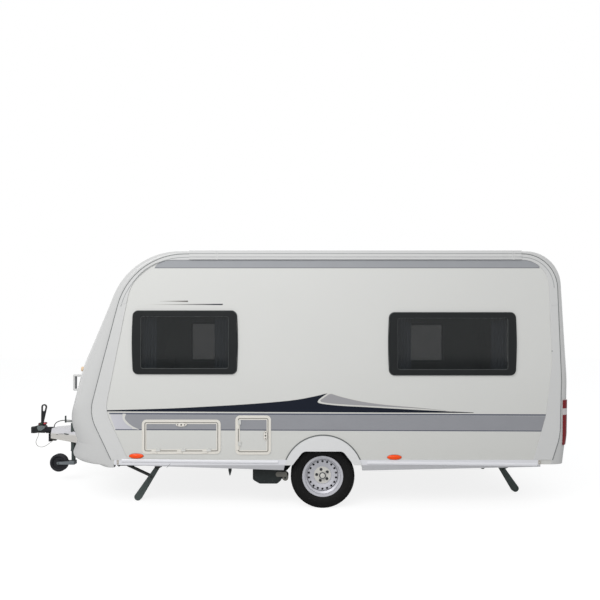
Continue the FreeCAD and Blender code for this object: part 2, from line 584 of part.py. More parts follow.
front_trim = [foot_point(seam_line[0], seam_line[1]), seam_line[1], seam_line[2], seam_line[3],
              (at("rail_front_x"), seam_line[3][1], 0),
              (at("rail_front_x"), at("trim_top"), 0), (at("trim_brow_x"), at("trim_top"), at("trim_brow_round")),
              (at("trim_lip_x"), at("trim_lip_z"), at("trim_lip_round")), (at("trim_foot_x"), TRIM_LOW, 0)]
rear_trim = [foot_point(seam_line[7], seam_line[6]), seam_line[6], seam_line[5], seam_line[4],
             (at("rail_rear_x"), seam_line[4][1], 0),
             (at("rail_rear_x"), at("trim_top"), 0), (at("trim_tail_top_x"), at("trim_top"), at("trim_tail_round")),
             (at("trim_tail_mid_x"), at("trim_tail_mid_z"), at("trim_tail_round") * 3),
             (at("trim_tail_low_x"), at("trim_tail_low_z"), at("trim_tail_round") * 2),
             (at("trim_tail_foot_x"), TRIM_LOW, 0)]
roof_rail = [(at("rail_front_x"), at("rail_low"), 0), (at("rail_front_x"), at("rail_high"), 0),
             (at("rail_rear_x"), at("rail_high"), 0), (at("rail_rear_x"), at("rail_low"), 0)]
ring_low, ring_radius, ring_z = at("arch_foot"), at("arch_ring"), at("arch_ring_z")
trims, rails, arch_trims, skirts = [], [], [], []
for side, name in ((-1, "left"), (1, "right")):
    trim_top = "dim.half_width + dim.trim_proud" if side > 0 else "-dim.half_width"
    rail_top = "dim.half_width + dim.rail_proud" if side > 0 else "-dim.half_width"
    trims.append(plate("front_trim_" + name, [front_trim], trim_top, "dim.trim_proud"))
    trims.append(plate("rear_trim_" + name, [rear_trim], trim_top, "dim.trim_proud"))
    rails.append(plate("roof_rail_" + name, [roof_rail], rail_top, "dim.rail_proud"))
    disc = Part.makeCylinder(ring_radius, at("arch_proud"), Vector(AXLE_X, side * HALF, ring_z), Vector(0, side, 0))
    keep_zone = block(-FAR, FAR, -SIDE, SIDE, ring_low, FAR)
    arch_trims.append(disc.common(keep_zone).cut(prism(arch, -SIDE, SIDE)))
    ring = Part.makeCylinder(ring_radius, 2 * SIDE, Vector(AXLE_X, -SIDE, ring_z), Vector(0, 1, 0))
    strip = at("strip_proud")
    for start_x, end_x, start_low, end_low in (
            (at("skirt_front_x"), AXLE_X, at("apron_front"), at("apron_wheel")),
            (AXLE_X, at("skirt_rear_x"), at("apron_wheel"), at("apron_rear"))):
        upper = prism([(start_x, FLOOR_UNDER, 0), (start_x, at("strip_high"), 0), (end_x, at("strip_high"), 0),
                       (end_x, FLOOR_UNDER, 0)], side * HALF, side * (HALF + strip))
        lower_start = min(start_low, FLOOR_UNDER - 2)
        lower = prism([(start_x, lower_start, 0), (start_x, FLOOR_UNDER, 0), (end_x, FLOOR_UNDER, 0),
                       (end_x, end_low, 0)], side * (HALF + strip), side * (HALF + strip - at("apron_thick")))
        skirts.append(upper.fuse(lower).cut(ring).removeSplitter())
keep("edge_trims", group("edge_trims", trims))
keep("roof_rails", group("roof_rails", rails))
keep("arch_trims", tagged("arch_trims_shape", compound(arch_trims)))
keep("skirts", tagged("skirts_shape", compound(skirts)))

# Lamps on the shell

LAMP_BACK = 26
LAMP_FRONT_X = at("seam_tail_low_x") + LAMP_BACK
lamp_zones = [slab((LAMP_FRONT_X, side * (HALF + 2 * WALL), at("tail_lamp_low")),
                   (FAR, side * (HALF - 150), at("tail_lamp_high"))) for side in (-1, 1)]
brake_zone = block(at("tail_joint_x"), FAR, -210, 210, at("tail_window_high") + 40, at("tail_window_high") + 70)
lamps = [skin.common(zone) for zone in lamp_zones + [brake_zone]]
for side in (-1, 1):
    for x, z in ((at("marker_front_x"), at("marker_front_z")), (at("marker_rear_x"), at("marker_rear_z"))):
        dome = Part.makeSphere(1)
        squeeze = FreeCAD.Matrix()
        squeeze.scale(at("marker_wide") / 2, at("marker_proud"), at("marker_high") / 2)
        dome = dome.transformGeometry(squeeze).translate(Vector(x, side * HALF, z))
        lamps.append(dome.cut(block(-FAR, FAR, -HALF, HALF, 0, FAR)))
NOSE_LAMP_Y, NOSE_LAMP_Z = 960, 1330
for side in (-1, 1):
    lens = rod(Vector(nose_face(side * NOSE_LAMP_Y, NOSE_LAMP_Z) - 12, side * NOSE_LAMP_Y, NOSE_LAMP_Z),
               Vector(-1500, side * NOSE_LAMP_Y, NOSE_LAMP_Z), at("marker_high") / 2)
    lamps.append(lens.cut(outer_form))
keep("lamps", tagged("lamps_shape", compound(lamps)))
PLATE_LOW = 540
number_plate = block(FAR - 600, at("tail_low_x") + 2, -at("plate_wide") / 2, at("plate_wide") / 2, PLATE_LOW,
                     PLATE_LOW + at("plate_high")).cut(outer_form)
number_plate = number_plate.common(block(at("seam_tail_low_x"), FAR, -HALF, HALF, 0, FAR))
keep("number_plate", tagged("number_plate_shape", number_plate))


# Wheels, axle and brakes

def turned(label, outline):
    """A body revolved about the wheel's axis from points (outwards, radius)."""
    body = doc.addObject("PartDesign::Body", label)
    sketch = body.newObject("Sketcher::SketchObject", label + "_profile")
    plane = [item for item in body.Origin.OriginFeatures if item.Role == "YZ_Plane"][0]
    sketch.AttachmentSupport = [(plane, "")]
    sketch.MapMode = "FlatFace"
    for a, b in zip(outline, outline[1:] + outline[:1]):
        sketch.addGeometry(Part.LineSegment(Vector(a[0], a[1], 0), Vector(b[0], b[1], 0)))
    turn = body.newObject("PartDesign::Revolution", label + "_turn")
    turn.Profile = sketch
    turn.ReferenceAxis = (sketch, ["H_Axis"])
    turn.Angle = 360
    sketch.Visibility = False
    return body


rim_half, flange, bead = at("rim_wide") / 2, at("rim_flange"), at("rim_seat")
tyre_half, tread = at("tyre_wide") / 2, at("wheel_radius")
disc_out, disc_thick = at("disc_out"), at("disc_thick")
LIP = 6
bead_line = [(rim_half - LIP, flange), (rim_half - LIP - 2, bead + 2), (rim_half - 32, bead - 1)]
well = bead - 20
rim_outline = [(rim_half, flange)] + bead_line + [(rim_half - 44, well), (44 - rim_half, well)]
rim_outline += [(-y, r) for y, r in reversed(bead_line)] + [(-rim_half, flange)]
rim_outline += [(2 - rim_half, bead - 4), (28 - rim_half, bead - 7), (40 - rim_half, well - 6), (-6, well - 6),
                (disc_out - disc_thick, well - 16), (disc_out - disc_thick, well - 38),
                (disc_out - 2 * disc_thick, well - 66), (disc_out - 2 * disc_thick, at("hub_nose")),
                (disc_out - disc_thick, at("hub_nose")), (disc_out - disc_thick, well - 68), (disc_out, well - 40),
                (disc_out, well - 12), (8, well - 6), (rim_half - 40, well - 6), (rim_half - 28, bead - 7),
                (rim_half - 2, bead - 4)]
tyre_outer = [(rim_half - LIP, flange), (tyre_half - 6, flange + 20), (tyre_half, flange + 55),
              (tyre_half - 4, tread - 26), (tyre_half - 14, tread - 8), (tyre_half - 28, tread)]
tyre_inner = [(rim_half - 24, bead + 22), (tyre_half - 22, flange + 40), (tyre_half - 20, tread - 44),
              (tyre_half - 34, tread - 20), (tyre_half - 52, tread - 14)]
bead_foot = [(rim_half - 22, bead + 0.25), bead_line[1]]
tyre_outline = tyre_outer + [(-y, r) for y, r in reversed(tyre_outer)]
tyre_outline += [(-bead_foot[1][0], bead_foot[1][1]), (-bead_foot[0][0], bead_foot[0][1])]
tyre_outline += [(-y, r) for y, r in tyre_inner] + [(y, r) for y, r in reversed(tyre_inner)] + bead_foot
hub_face = disc_out - 2 * disc_thick
drum_outline = [(hub_face - at("drum_wide"), at("stub_radius") + at("bearing_gap")),
                (hub_face - at("drum_wide"), at("drum_radius")), (hub_face - 12, at("drum_radius")),
                (hub_face, at("drum_radius") - 30), (hub_face, at("hub_nose")),
                (disc_out + 20, at("hub_nose")), (disc_out + 24, at("hub_nose") - 6), (disc_out + 24, 0),
                (hub_face - 4, 0), (hub_face - 4, at("stub_radius") + at("bearing_gap"))]
WHEEL_Z = tread
for side, name in ((-1, "left"), (1, "right")):
    tyre = turned("tyre_" + name, tyre_outline)
    rim = turned("rim_" + name, rim_outline)
    doc.recompute()
    vent = rim.newObject("Sketcher::SketchObject", "vent_" + name)
    side_plane = [item for item in rim.Origin.OriginFeatures if item.Role == "XZ_Plane"][0]
    vent.AttachmentSupport = [(side_plane, "")]
    vent.MapMode = "FlatFace"
    vent.addGeometry(Part.Circle(Vector(0, at("vent_ring"), 0), Vector(0, 0, 1), at("vent_radius")))
    vent.Visibility = False
    cut = rim.newObject("PartDesign::Pocket", "vent_cut_" + name)
    cut.Profile = vent
    cut.Type = "ThroughAll"
    cut.Midplane = True
    doc.recompute()
    ring = rim.newObject("PartDesign::PolarPattern", "vent_ring_" + name)
    ring.Originals = [cut]
    ring.Axis = (vent, ["N_Axis"])
    ring.Angle = 360
    ring.setExpression("Occurrences", "dim.vent_count")
    rim.Tip = ring
    drum = turned("drum_" + name, drum_outline)
    for body in (tyre, rim, drum):
        body.setExpression("Placement.Base.x", "dim.axle_x")
        body.setExpression("Placement.Base.y", "%d * dim.wheel_y" % side)
        body.setExpression("Placement.Base.z", "dim.wheel_radius")
        if side < 0:
            body.Placement.Rotation = Rotation(Vector(0, 0, 1), 180)
    keep("tyre_" + name, tyre)
    keep("rim_" + name, rim)
    keep("brake_drum_" + name, drum)

beam_x = AXLE_X - at("beam_ahead")
beam_z = at("beam_z")
beam = rod(Vector(beam_x, -at("beam_half"), beam_z), Vector(beam_x, at("beam_half"), beam_z), at("beam_radius"))
arms = []
for side in (-1, 1):
    inner_y, outer_y = side * at("beam_half"), side * (at("beam_half") + at("arm_thick"))
    hub_y = side * (at("wheel_y") + hub_face)
    arm = bar(Vector(beam_x, 0, beam_z), at("beam_radius"), Vector(AXLE_X, 0, WHEEL_Z), at("arm_eye"),
              min(inner_y, outer_y), max(inner_y, outer_y))
    stub = rod(Vector(AXLE_X, outer_y, WHEEL_Z), Vector(AXLE_X, hub_y - side * 8, WHEEL_Z), at("stub_radius"))
    drum_back = side * (at("wheel_y") + hub_face - at("drum_wide"))
    backplate = rod(Vector(AXLE_X, drum_back - side * 10, WHEEL_Z), Vector(AXLE_X, drum_back - side * 3, WHEEL_Z),
                    at("plate_radius"))
    boss = rod(Vector(AXLE_X, outer_y, WHEEL_Z), Vector(AXLE_X, drum_back - side * 10, WHEEL_Z), at("arm_eye"))
    arms.append(arm.multiFuse([stub, backplate, boss]).removeSplitter())
keep("axle_tube", tagged("axle_tube_shape", beam))
keep("swing_arms", tagged("swing_arms_shape", compound(arms)))

# Manoeuvring drives: one motor housing with a roller ahead of each tyre, on a tube across the chassis

drive_x, drive_z = (at("drive_front_x") + at("drive_rear_x")) / 2, at("drive_high") + at("drive_tube")
drive_far = at("wheel_y") + at("roller_long") / 2
drive_near = at("wheel_y") - at("roller_long") / 2
drives = [rod(Vector(drive_x, -drive_near, drive_z), Vector(drive_x, drive_near, drive_z), at("drive_tube"))]
roller = Vector(at("roller_x"), 0, at("roller_z"))
for side in (-1, 1):
    low_y, high_y = sorted((side * drive_near, side * drive_far))
    casing = prism([(at("drive_front_x"), at("drive_low") + 38, 30), (at("drive_front_x"), at("drive_high"), 12),
                    (at("drive_rear_x"), at("drive_high"), 12), (at("drive_rear_x"), at("drive_low") + 36, 24),
                    (at("drive_rear_x") - 40, at("drive_low"), 30), (at("drive_front_x") + 66, at("drive_low"), 40)],
                   low_y, high_y)
    saddle = block(drive_x - 40, drive_x + 40, low_y, high_y, at("drive_high"), drive_z + at("drive_tube"))
    drum = rod(roller + Y_WAY * low_y, roller + Y_WAY * high_y, at("roller_radius"))
    neck = block(at("drive_rear_x") - 10, at("roller_x"), low_y + 10, high_y - 10, at("roller_z") - 12,
                 at("roller_z") + 12)
    drives.append(casing.multiFuse([saddle, drum, neck]).removeSplitter())
drives[0] = drives[0].cut(compound(drives[1:]))
keep("mover_drives", tagged("mover_drives_shape", compound(drives)))


# Chassis: two C rails that run level under the floor and rise and close in to the coupling

def channel(y, z, x, flip):
    """A C section standing in a plane across the vehicle, open towards the middle."""
    wide, deep, web = at("rail_flange") / 2, at("rail_deep") / 2, at("rail_web")
    points = [(wide, deep), (-wide, deep), (-wide, deep - web), (wide - web, deep - web),
              (wide - web, web - deep), (-wide, web - deep), (-wide, -deep), (wide, -deep)]
    return Part.makePolygon([Vector(x, flip * (y + a), z + b) for a, b in points + points[:1]])


level_z = FLOOR_UNDER - at("rail_deep") / 2
spread = (at("rail_y") - at("tow_rail_y")) / (at("rail_bend_x") - at("rail_front"))
level_y = at("tow_rail_y") + spread * (at("rail_level_x") - at("rail_front"))
STOPS = [(at("rail_tail_x"), at("rail_y"), level_z), (at("rail_bend_x"), at("rail_y"), level_z),
         (at("rail_level_x"), level_y, at("tow_rail_z")), (at("rail_front"), at("tow_rail_y"), at("tow_rail_z"))]
through = compound([beam, drives[0]])
rails_shape = []
for side in (-1, 1):
    rail = Part.makeLoft([channel(y, z, x, side) for x, y, z in STOPS], True, True)
    rails_shape.append(rail.cut(through))
CROSS_XS = [-1300, -300, 1250, 2280]
cross_span = at("rail_y") + at("rail_flange") / 2 - at("rail_web")
crosses = [block(x - at("cross_wide") / 2, x + at("cross_wide") / 2, -cross_span, cross_span,
                 FLOOR_UNDER - at("cross_wide"), FLOOR_UNDER).cut(compound(rails_shape)) for x in CROSS_XS]
frame_shape = rails_shape[0].multiFuse(rails_shape[1:] + crosses)
keep("chassis_frame", tagged("chassis_frame_shape", frame_shape))

# Overrun housing, bellows, coupling head and levers

shaft_z, housing_half = at("shaft_z"), at("housing_half")
housing = block(at("housing_front_x"), at("housing_rear_x"), -housing_half, housing_half, at("housing_low"),
                at("housing_high"))
shaft = rod(Vector(at("head_rear_x"), 0, shaft_z), Vector(at("housing_front_x"), 0, shaft_z), at("shaft_radius"))
SOCKET_REACH, PLUG_Z = 27, 466
SOCKET_X = at("housing_front_x") - SOCKET_REACH
CABLE_END = Vector(-2556, -41, 486)
bellows_low = shaft_z - at("bellows_radius")
parking_socket = block(SOCKET_X - 26, SOCKET_X, -24, 24, PLUG_Z - 26, bellows_low - 1)
parking_arm = block(SOCKET_X, at("housing_front_x") + 20, -14, 14, at("housing_low") + 6, bellows_low - 1)
end_lug = block(CABLE_END.x - 9, CABLE_END.x + 9, CABLE_END.y - 5, -housing_half, CABLE_END.z,
                CABLE_END.z + 18)
housing = housing.multiFuse([shaft, parking_socket, parking_arm, end_lug]).cut(compound(rails_shape))
keep("overrun_housing", tagged("overrun_housing_shape", housing))
FOLDS = 6
fold = (at("housing_front_x") - at("head_rear_x")) / FOLDS
bellows_profile = [Vector(at("head_rear_x"), 0, shaft_z + at("shaft_radius"))]
for i in range(FOLDS):
    x = at("head_rear_x") + fold * i
    bellows_profile += [Vector(x, 0, shaft_z + at("bellows_radius") - 7),
                        Vector(x + fold / 2, 0, shaft_z + at("bellows_radius"))]
bellows_profile += [Vector(at("housing_front_x"), 0, shaft_z + at("bellows_radius") - 7),
                    Vector(at("housing_front_x"), 0, shaft_z + at("shaft_radius"))]
bellows_face = Part.Face(Part.makePolygon(bellows_profile + bellows_profile[:1]))
bellows_shape = bellows_face.revolve(Vector(0, 0, shaft_z), Vector(1, 0, 0), 360)
keep("bellows", tagged("bellows_shape", bellows_shape))

NECK_RISE, LEVER_RISE = 14, 206
ball = Vector(at("ball_x"), 0, at("head_low"))
head_high, head_radius = at("head_high"), at("head_radius")
neck_top = head_high + NECK_RISE
cup = rod(ball, Vector(at("ball_x"), 0, head_high - 8), head_radius)
cup = cup.makeFillet(10, [edge for edge in cup.Edges if edge.BoundBox.ZMin > head_high - 9])
neck = prism([(at("ball_x"), at("head_low") + 6, 0), (at("ball_x"), head_high - 8, 0),
              (at("ball_x") + 60, neck_top, 14), (at("head_rear_x") - 20, neck_top, 14),
              (at("head_rear_x"), shaft_z + 30, 6), (at("head_rear_x"), shaft_z - 30, 6)],
             -head_radius + 6, head_radius - 6)
socket = rod(ball - Z_WAY, ball + Z_WAY * at("socket_deep"), at("ball_radius"))
CABLE_START = Vector(-2729, -40, 550)
start_lug = block(CABLE_START.x - 9, CABLE_START.x + 9, CABLE_START.y - 6, 0, CABLE_START.z,
                  CABLE_START.z + 18)
head = cup.multiFuse([neck, start_lug]).cut(socket).removeSplitter()
keep("coupling_head", tagged("coupling_head_shape", head))
LEVER_X, LEVER_HALF = at("head_rear_x") - 31, 8
lever_end = neck_top + LEVER_RISE
lever_foot, lever_top = Vector(LEVER_X - 18, 0, neck_top), Vector(LEVER_X + 6, 0, lever_end)
loop_low, loop_high = Vector(LEVER_X + 1, 0, lever_end - 38), Vector(LEVER_X + 6, 0, lever_end - 2)
grip = bar(lever_foot, 11, lever_top, 31, -LEVER_HALF, LEVER_HALF)
grip = grip.cut(bar(loop_low, 13, loop_high, 18, -2 * LEVER_HALF, 2 * LEVER_HALF))
handle = prism([(LEVER_X - 60, neck_top, 0), (LEVER_X - 52, neck_top + 22, 8),
                (LEVER_X + 24, neck_top + 30, 8), (LEVER_X + 24, neck_top, 0)], -16, 16)
keep("levers", tagged("levers_shape", handle.fuse(grip).cut(head).removeSplitter()))

# Drawbar cover: a moulded shell over the draw rails, open below


def cover_form(shrink, drop):
    """The cover's outer form, or its hollow when it is shrunk and dropped."""
    wires = []
    for x, half, top, low in ((at("cover_front_x"), at("cover_front_half"), at("cover_front_top"),
                               at("cover_front_low")),
                              (at("cover_rear_x"), at("cover_rear_half"), at("cover_rear_top"),
                               at("cover_rear_low"))):
        edge = 0.72 * half
        section = [(half - shrink, low - drop), (half - shrink, (top + low) / 2), (edge - shrink / 2, top - shrink),
                   (shrink / 2 - edge, top - shrink), (shrink - half, (top + low) / 2), (shrink - half, low - drop)]
        wires.append(Part.makePolygon([Vector(x, y, z) for y, z in section + section[:1]]))
    return Part.makeLoft(wires, True, True)


jockey_x, jockey_y = at("jockey_x"), at("jockey_y")
sleeve_hole = Part.makeCylinder(at("sleeve_radius") + 2, FAR, Vector(jockey_x, jockey_y, 0))
cover = cover_form(0, 0).cut(cover_form(at("cover_thick"), CLEAR_BELOW)).cut(sleeve_hole)
GLAND = Vector(-2140, 60, 648)
gland = rod(GLAND, GLAND + X_WAY * 34, 11)
gland_foot = block(GLAND.x + 6, GLAND.x + 30, GLAND.y - 11, GLAND.y + 11, at("cover_front_top"), GLAND.z)
gland = gland.fuse(gland_foot)
cover = cover.fuse(gland.cut(cover_form(0, 0))).removeSplitter()
keep("drawbar_cover", tagged("drawbar_cover_shape", cover))

# Jockey wheel: a closed sleeve with a crank on it, clamped beside the draw housing, and a stem inside

sleeve_low, sleeve_high = at("sleeve_low"), at("sleeve_high")
crank_base = Vector(jockey_x, jockey_y, sleeve_high)
sleeve = rod(Vector(jockey_x, jockey_y, sleeve_low), crank_base, at("sleeve_radius"))
rail_face = at("tow_rail_y") + spread * (jockey_x - at("rail_front")) + at("rail_flange") / 2
clamp = block(jockey_x - 14, jockey_x + 14, jockey_y, -rail_face - 2, at("housing_low") + 10,
              at("housing_high") - 10)
pin_gap = at("pin_gap")
SLEEVE_CAP = 12
stem_bore = rod(Vector(jockey_x, jockey_y, sleeve_low - 1), crank_base - Z_WAY * SLEEVE_CAP,
                at("stem_radius") + pin_gap)
CRANK = 90
crank_end = crank_base - X_WAY * CRANK
crank = rod(crank_base - Z_WAY * 6, crank_base + Z_WAY * 24, 10)
crank = crank.fuse(rod(crank_base + Z_WAY * 13, crank_end + Z_WAY * 13, 6))
crank = crank.fuse(rod(crank_end + Z_WAY * 3, crank_end + Z_WAY * 80, 9))
clamp = clamp.fuse(sleeve).cut(stem_bore).cut(compound(rails_shape)).fuse(crank).removeSplitter()
keep("jockey_clamp", tagged("jockey_clamp_shape", clamp))
stem_foot = Vector(jockey_x, jockey_y, at("stem_low"))
stem = rod(stem_foot, Vector(jockey_x, jockey_y, at("stem_high")), at("stem_radius"))
swivel_pin = rod(stem_foot - Z_WAY * 30, stem_foot, at("jockey_pin"))
keep("jockey_stem", tagged("jockey_stem_shape", stem.fuse(swivel_pin).removeSplitter()))
wheel_x, wheel_z = jockey_x - at("fork_reach"), at("jockey_z")
fork_in = at("jockey_wide") / 2 + 3
fork_out = fork_in + at("fork_thick")
fork_top = at("stem_low") - pin_gap
fork_head = block(jockey_x - at("stem_radius"), jockey_x + at("stem_radius"), jockey_y - fork_out,
                  jockey_y + fork_out, fork_top - 42, fork_top)
fork_parts = [fork_head]
for side in (-1, 1):
    low_y, high_y = sorted((jockey_y + side * fork_in, jockey_y + side * fork_out))
    fork_parts.append(bar(Vector(jockey_x, 0, fork_top - 21), 20, Vector(wheel_x, 0, wheel_z), 15, low_y, high_y))
axle_pin = rod(Vector(wheel_x, jockey_y - fork_out - 3, wheel_z), Vector(wheel_x, jockey_y + fork_out + 3, wheel_z),
               at("jockey_pin"))
fork = fork_parts[0].multiFuse(fork_parts[1:] + [axle_pin])
pin_hole = rod(stem_foot - Z_WAY * 31, stem_foot + Z_WAY, at("jockey_pin") + pin_gap)
keep("jockey_fork", tagged("jockey_fork_shape", fork.cut(pin_hole).removeSplitter()))
jockey_half = at("jockey_wide") / 2
jockey_profile = [Vector(0, y, r) for y, r in (
    (-jockey_half, at("jockey_pin") + pin_gap), (-jockey_half, 30), (-12, 34), (-12, 62), (-jockey_half + 6, 70),
    (-jockey_half, 84), (-jockey_half + 10, at("jockey_radius")), (jockey_half - 10, at("jockey_radius")),
    (jockey_half, 84), (jockey_half - 6, 70), (12, 62), (12, 34), (jockey_half, 30),
    (jockey_half, at("jockey_pin") + pin_gap))]
jockey_face = Part.Face(Part.makePolygon(jockey_profile + jockey_profile[:1]))
jockey_wheel = jockey_face.revolve(Vector(0, 0, 0), Y_WAY, 360).translate(Vector(wheel_x, jockey_y, wheel_z))
keep("jockey_wheel", tagged("jockey_wheel_shape", jockey_wheel))


# Corner steadies: a channel leg on a bracket, drawn down by a screw through a strut

def steady(base_x, base_y, way):
    """Bracket with its screw, leg and strut of one steady; way is the sense of X that the foot points to."""
    eye, foot, half, sheet = at("leg_eye"), at("leg_foot"), at("leg_half"), at("leg_plate")
    gap, pin_radius, spindle = at("pin_gap"), at("steady_pin"), at("spindle_radius")
    pivot = Vector(base_x, 0, at("steady_pivot_z"))
    lean = math.radians(at("steady_splay"))
    down = Vector(way * math.sin(lean), 0, -math.cos(lean))
    reach = (pivot.z - foot) / math.cos(lean)
    sole = pivot + down * reach
    crook = pivot + down * at("strut_at")
    nut = Vector(base_x + way * at("nut_ahead"), 0, at("nut_z"))

    leg = bar(pivot, eye, sole, foot, base_y - half, base_y + half)
    face = Vector(down.z, 0, -down.x) * -way
    inner = [pivot - down * eye, sole + down * (foot - sheet * 3)]
    trough = [inner[0] - face * (eye - sheet), inner[0] + face * 3 * eye, inner[1] + face * 3 * foot,
              inner[1] - face * (foot - sheet * 3)]
    leg = leg.cut(prism([(p.x, p.z, 0) for p in trough], base_y - half + sheet, base_y + half - sheet))
    far_y, near_y = base_y + 3 * half, base_y - 3 * half
    for centre_point in (pivot, crook):
        leg = leg.cut(rod(Vector(centre_point.x, near_y, centre_point.z), Vector(centre_point.x, far_y, centre_point.z),
                          pin_radius + gap))

    cheek_in = spindle + 2
    cheek_out = cheek_in + at("strut_plate")
    strut = rod(crook + Y_WAY * (base_y - half - 3), crook + Y_WAY * (base_y + half + 3), pin_radius)
    for low_y, high_y in ((base_y - cheek_out, base_y - cheek_in), (base_y + cheek_in, base_y + cheek_out)):
        strut = strut.fuse(bar(crook, at("strut_eye"), nut, at("strut_eye"), low_y, high_y))

    wing_in = half + 2
    wing = 4
    top = FLOOR_UNDER
    bracket = rod(pivot + Y_WAY * (base_y - wing_in - wing), pivot + Y_WAY * (base_y + wing_in + wing), pin_radius)
    for low_y, high_y in ((base_y - wing_in - wing, base_y - wing_in), (base_y + wing_in, base_y + wing_in + wing)):
        wings = prism([(pivot.x - 40, top, 0), (pivot.x + 40, top, 0), (pivot.x + 22, pivot.z - 22, 18),
                       (pivot.x - 22, pivot.z - 22, 18)], low_y, high_y)
        bracket = bracket.fuse(wings)
    back_x = base_x - way * 34
    back = slab((back_x, base_y - wing_in - wing, top), (back_x - way * 5, base_y + wing_in + wing, nut.z - 16))
    screw_end = base_x + way * (at("nut_ahead") + 110)
    screw = rod(Vector(back_x, base_y, nut.z), Vector(screw_end, base_y, nut.z), spindle)
    lug_x = screw_end - way * 22
    lug = slab((lug_x, base_y - 14, top), (lug_x + way * 6, base_y + 14, nut.z - 14))
    bracket = bracket.multiFuse([back, screw, lug])
    return bracket.removeSplitter(), leg.removeSplitter(), strut.removeSplitter()


brackets = []
for end, base_x, base_y, way in (("front", at("steady_front_x"), at("steady_front_y"), -1),
                                 ("rear", at("steady_rear_x"), at("steady_rear_y"), 1)):
    for side, name in ((-1, "left"), (1, "right")):
        bracket_shape, leg_shape, strut_shape = steady(base_x, side * base_y, way)
        brackets.append(bracket_shape)
        label = "%s_%s" % (end, name)
        keep("steady_leg_" + label, tagged("steady_leg_%s_shape" % label, leg_shape))
        keep("steady_strut_" + label, tagged("steady_strut_%s_shape" % label, strut_shape))
keep("steady_mounts", tagged("steady_mounts_shape", compound(brackets)))


# Inside, as far as it shows through the windows

def room_box(label, x_low, x_high, y_low, y_high, z_low, z_high):
    """A box bound to the sheet; each limit is an expression."""
    item = doc.addObject("Part::Box", label)
    for side, low, high in (("Length", x_low, x_high), ("Width", y_low, y_high), ("Height", z_low, z_high)):
        item.setExpression(side, "(%s) - (%s)" % (high, low))
    for axis, low in zip("xyz", (x_low, y_low, z_low)):
        item.setExpression("Placement.Base." + axis, low)
    return item


FLOOR = "dim.floor_under + dim.floor_thick"
INNER = "dim.half_width - dim.wall"
BENCH_TOP = FLOOR + " + dim.bench_high"
SIDE_Y = "(" + INNER + ")"
NEAR_Y = "-" + SIDE_Y


def open_case(label, x_low, x_high, y_low, y_high, z_low, z_high, board):
    """Five boards of a case that is open towards the left wall: bottom, top, two ends and a back."""
    inner_x_low, inner_x_high = "%s + %s" % (x_low, board), "%s - %s" % (x_high, board)
    inner_z_low, inner_z_high = "%s + %s" % (z_low, board), "%s - %s" % (z_high, board)
    inner_y_high = "%s - %s" % (y_high, board)
    return [room_box(label + "_bottom", x_low, x_high, y_low, y_high, z_low, inner_z_low),
            room_box(label + "_top", x_low, x_high, y_low, y_high, inner_z_high, z_high),
            room_box(label + "_front", x_low, inner_x_low, y_low, y_high, inner_z_low, inner_z_high),
            room_box(label + "_rear", inner_x_high, x_high, y_low, y_high, inner_z_low, inner_z_high),
            room_box(label + "_back", inner_x_low, inner_x_high, inner_y_high, y_high, inner_z_low, inner_z_high)]


BED_FRONT = "dim.bulkhead_x + dim.bulkhead_thick"
SERVICE_TOP = FLOOR + " + dim.service_box_high"
bed = open_case("bed", BED_FRONT, "dim.bed_rear_x", NEAR_Y, "dim.bed_far_y", FLOOR, BENCH_TOP, "dim.board")
service_case = open_case("service_box", "dim.service_box_front_x", "dim.service_box_rear_x", NEAR_Y,
                         "dim.service_box_deep - " + SIDE_Y, FLOOR, SERVICE_TOP, "0.6 * dim.board")
furniture = bed + service_case + [
    room_box("kitchen_front", "dim.kitchen_front_x", "dim.kitchen_rear_x", "-dim.box_inner_y",
             "dim.kitchen_deep - dim.box_inner_y", FLOOR, FLOOR + " + dim.counter_high"),
    room_box("kitchen_back", "dim.kitchen_front_x", "dim.kitchen_rear_x", NEAR_Y, "-dim.box_inner_y",
             "dim.box_top", FLOOR + " + dim.counter_high"),
    room_box("wardrobe_front", "dim.wardrobe_front_x", "dim.wardrobe_rear_x",
             "dim.box_inner_y - dim.kitchen_deep", "dim.box_inner_y", FLOOR, "dim.locker_high"),
    room_box("wardrobe_back", "dim.wardrobe_front_x", "dim.wardrobe_rear_x", "dim.box_inner_y", SIDE_Y,
             "dim.box_top", "dim.locker_high"),
    room_box("bench_left", "dim.seat_front_x", "dim.seat_rear_x", NEAR_Y, "dim.bench_deep - " + SIDE_Y, FLOOR,
             BENCH_TOP),
    room_box("bench_right", "dim.seat_front_x", "dim.seat_rear_x", SIDE_Y + " - dim.bench_deep", SIDE_Y, FLOOR,
             BENCH_TOP),
    room_box("lockers_left", "dim.locker_front_x", "dim.locker_rear_x", NEAR_Y, "dim.locker_deep - " + SIDE_Y,
             "dim.locker_low", "dim.locker_high"),
    room_box("lockers_right", "dim.wardrobe_rear_x + 2 * dim.board", "dim.locker_rear_x",
             SIDE_Y + " - dim.locker_deep", SIDE_Y, "dim.locker_low", "dim.locker_high")]
PAD_LOW = BENCH_TOP + " + dim.pad_gap"
PAD_HIGH = PAD_LOW + " + dim.pad_thick"
cushions = [
    room_box("mattress", BED_FRONT + " + dim.pad_inset", "dim.bed_rear_x - dim.pad_inset",
             "dim.pad_inset - " + SIDE_Y, "dim.bed_far_y - dim.pad_inset", PAD_LOW, PAD_HIGH),
    room_box("seat_left", "dim.seat_front_x + dim.pad_inset", "dim.seat_rear_x - dim.pad_inset",
             "dim.pad_inset - " + SIDE_Y, "dim.bench_deep - dim.pad_inset - " + SIDE_Y, PAD_LOW, PAD_HIGH),
    room_box("seat_right", "dim.seat_front_x + dim.pad_inset", "dim.seat_rear_x - dim.pad_inset",
             SIDE_Y + " - dim.bench_deep + dim.pad_inset", SIDE_Y + " - dim.pad_inset", PAD_LOW, PAD_HIGH)]
keep("furniture", group("furniture", furniture))
keep("cushions", group("cushions", cushions))

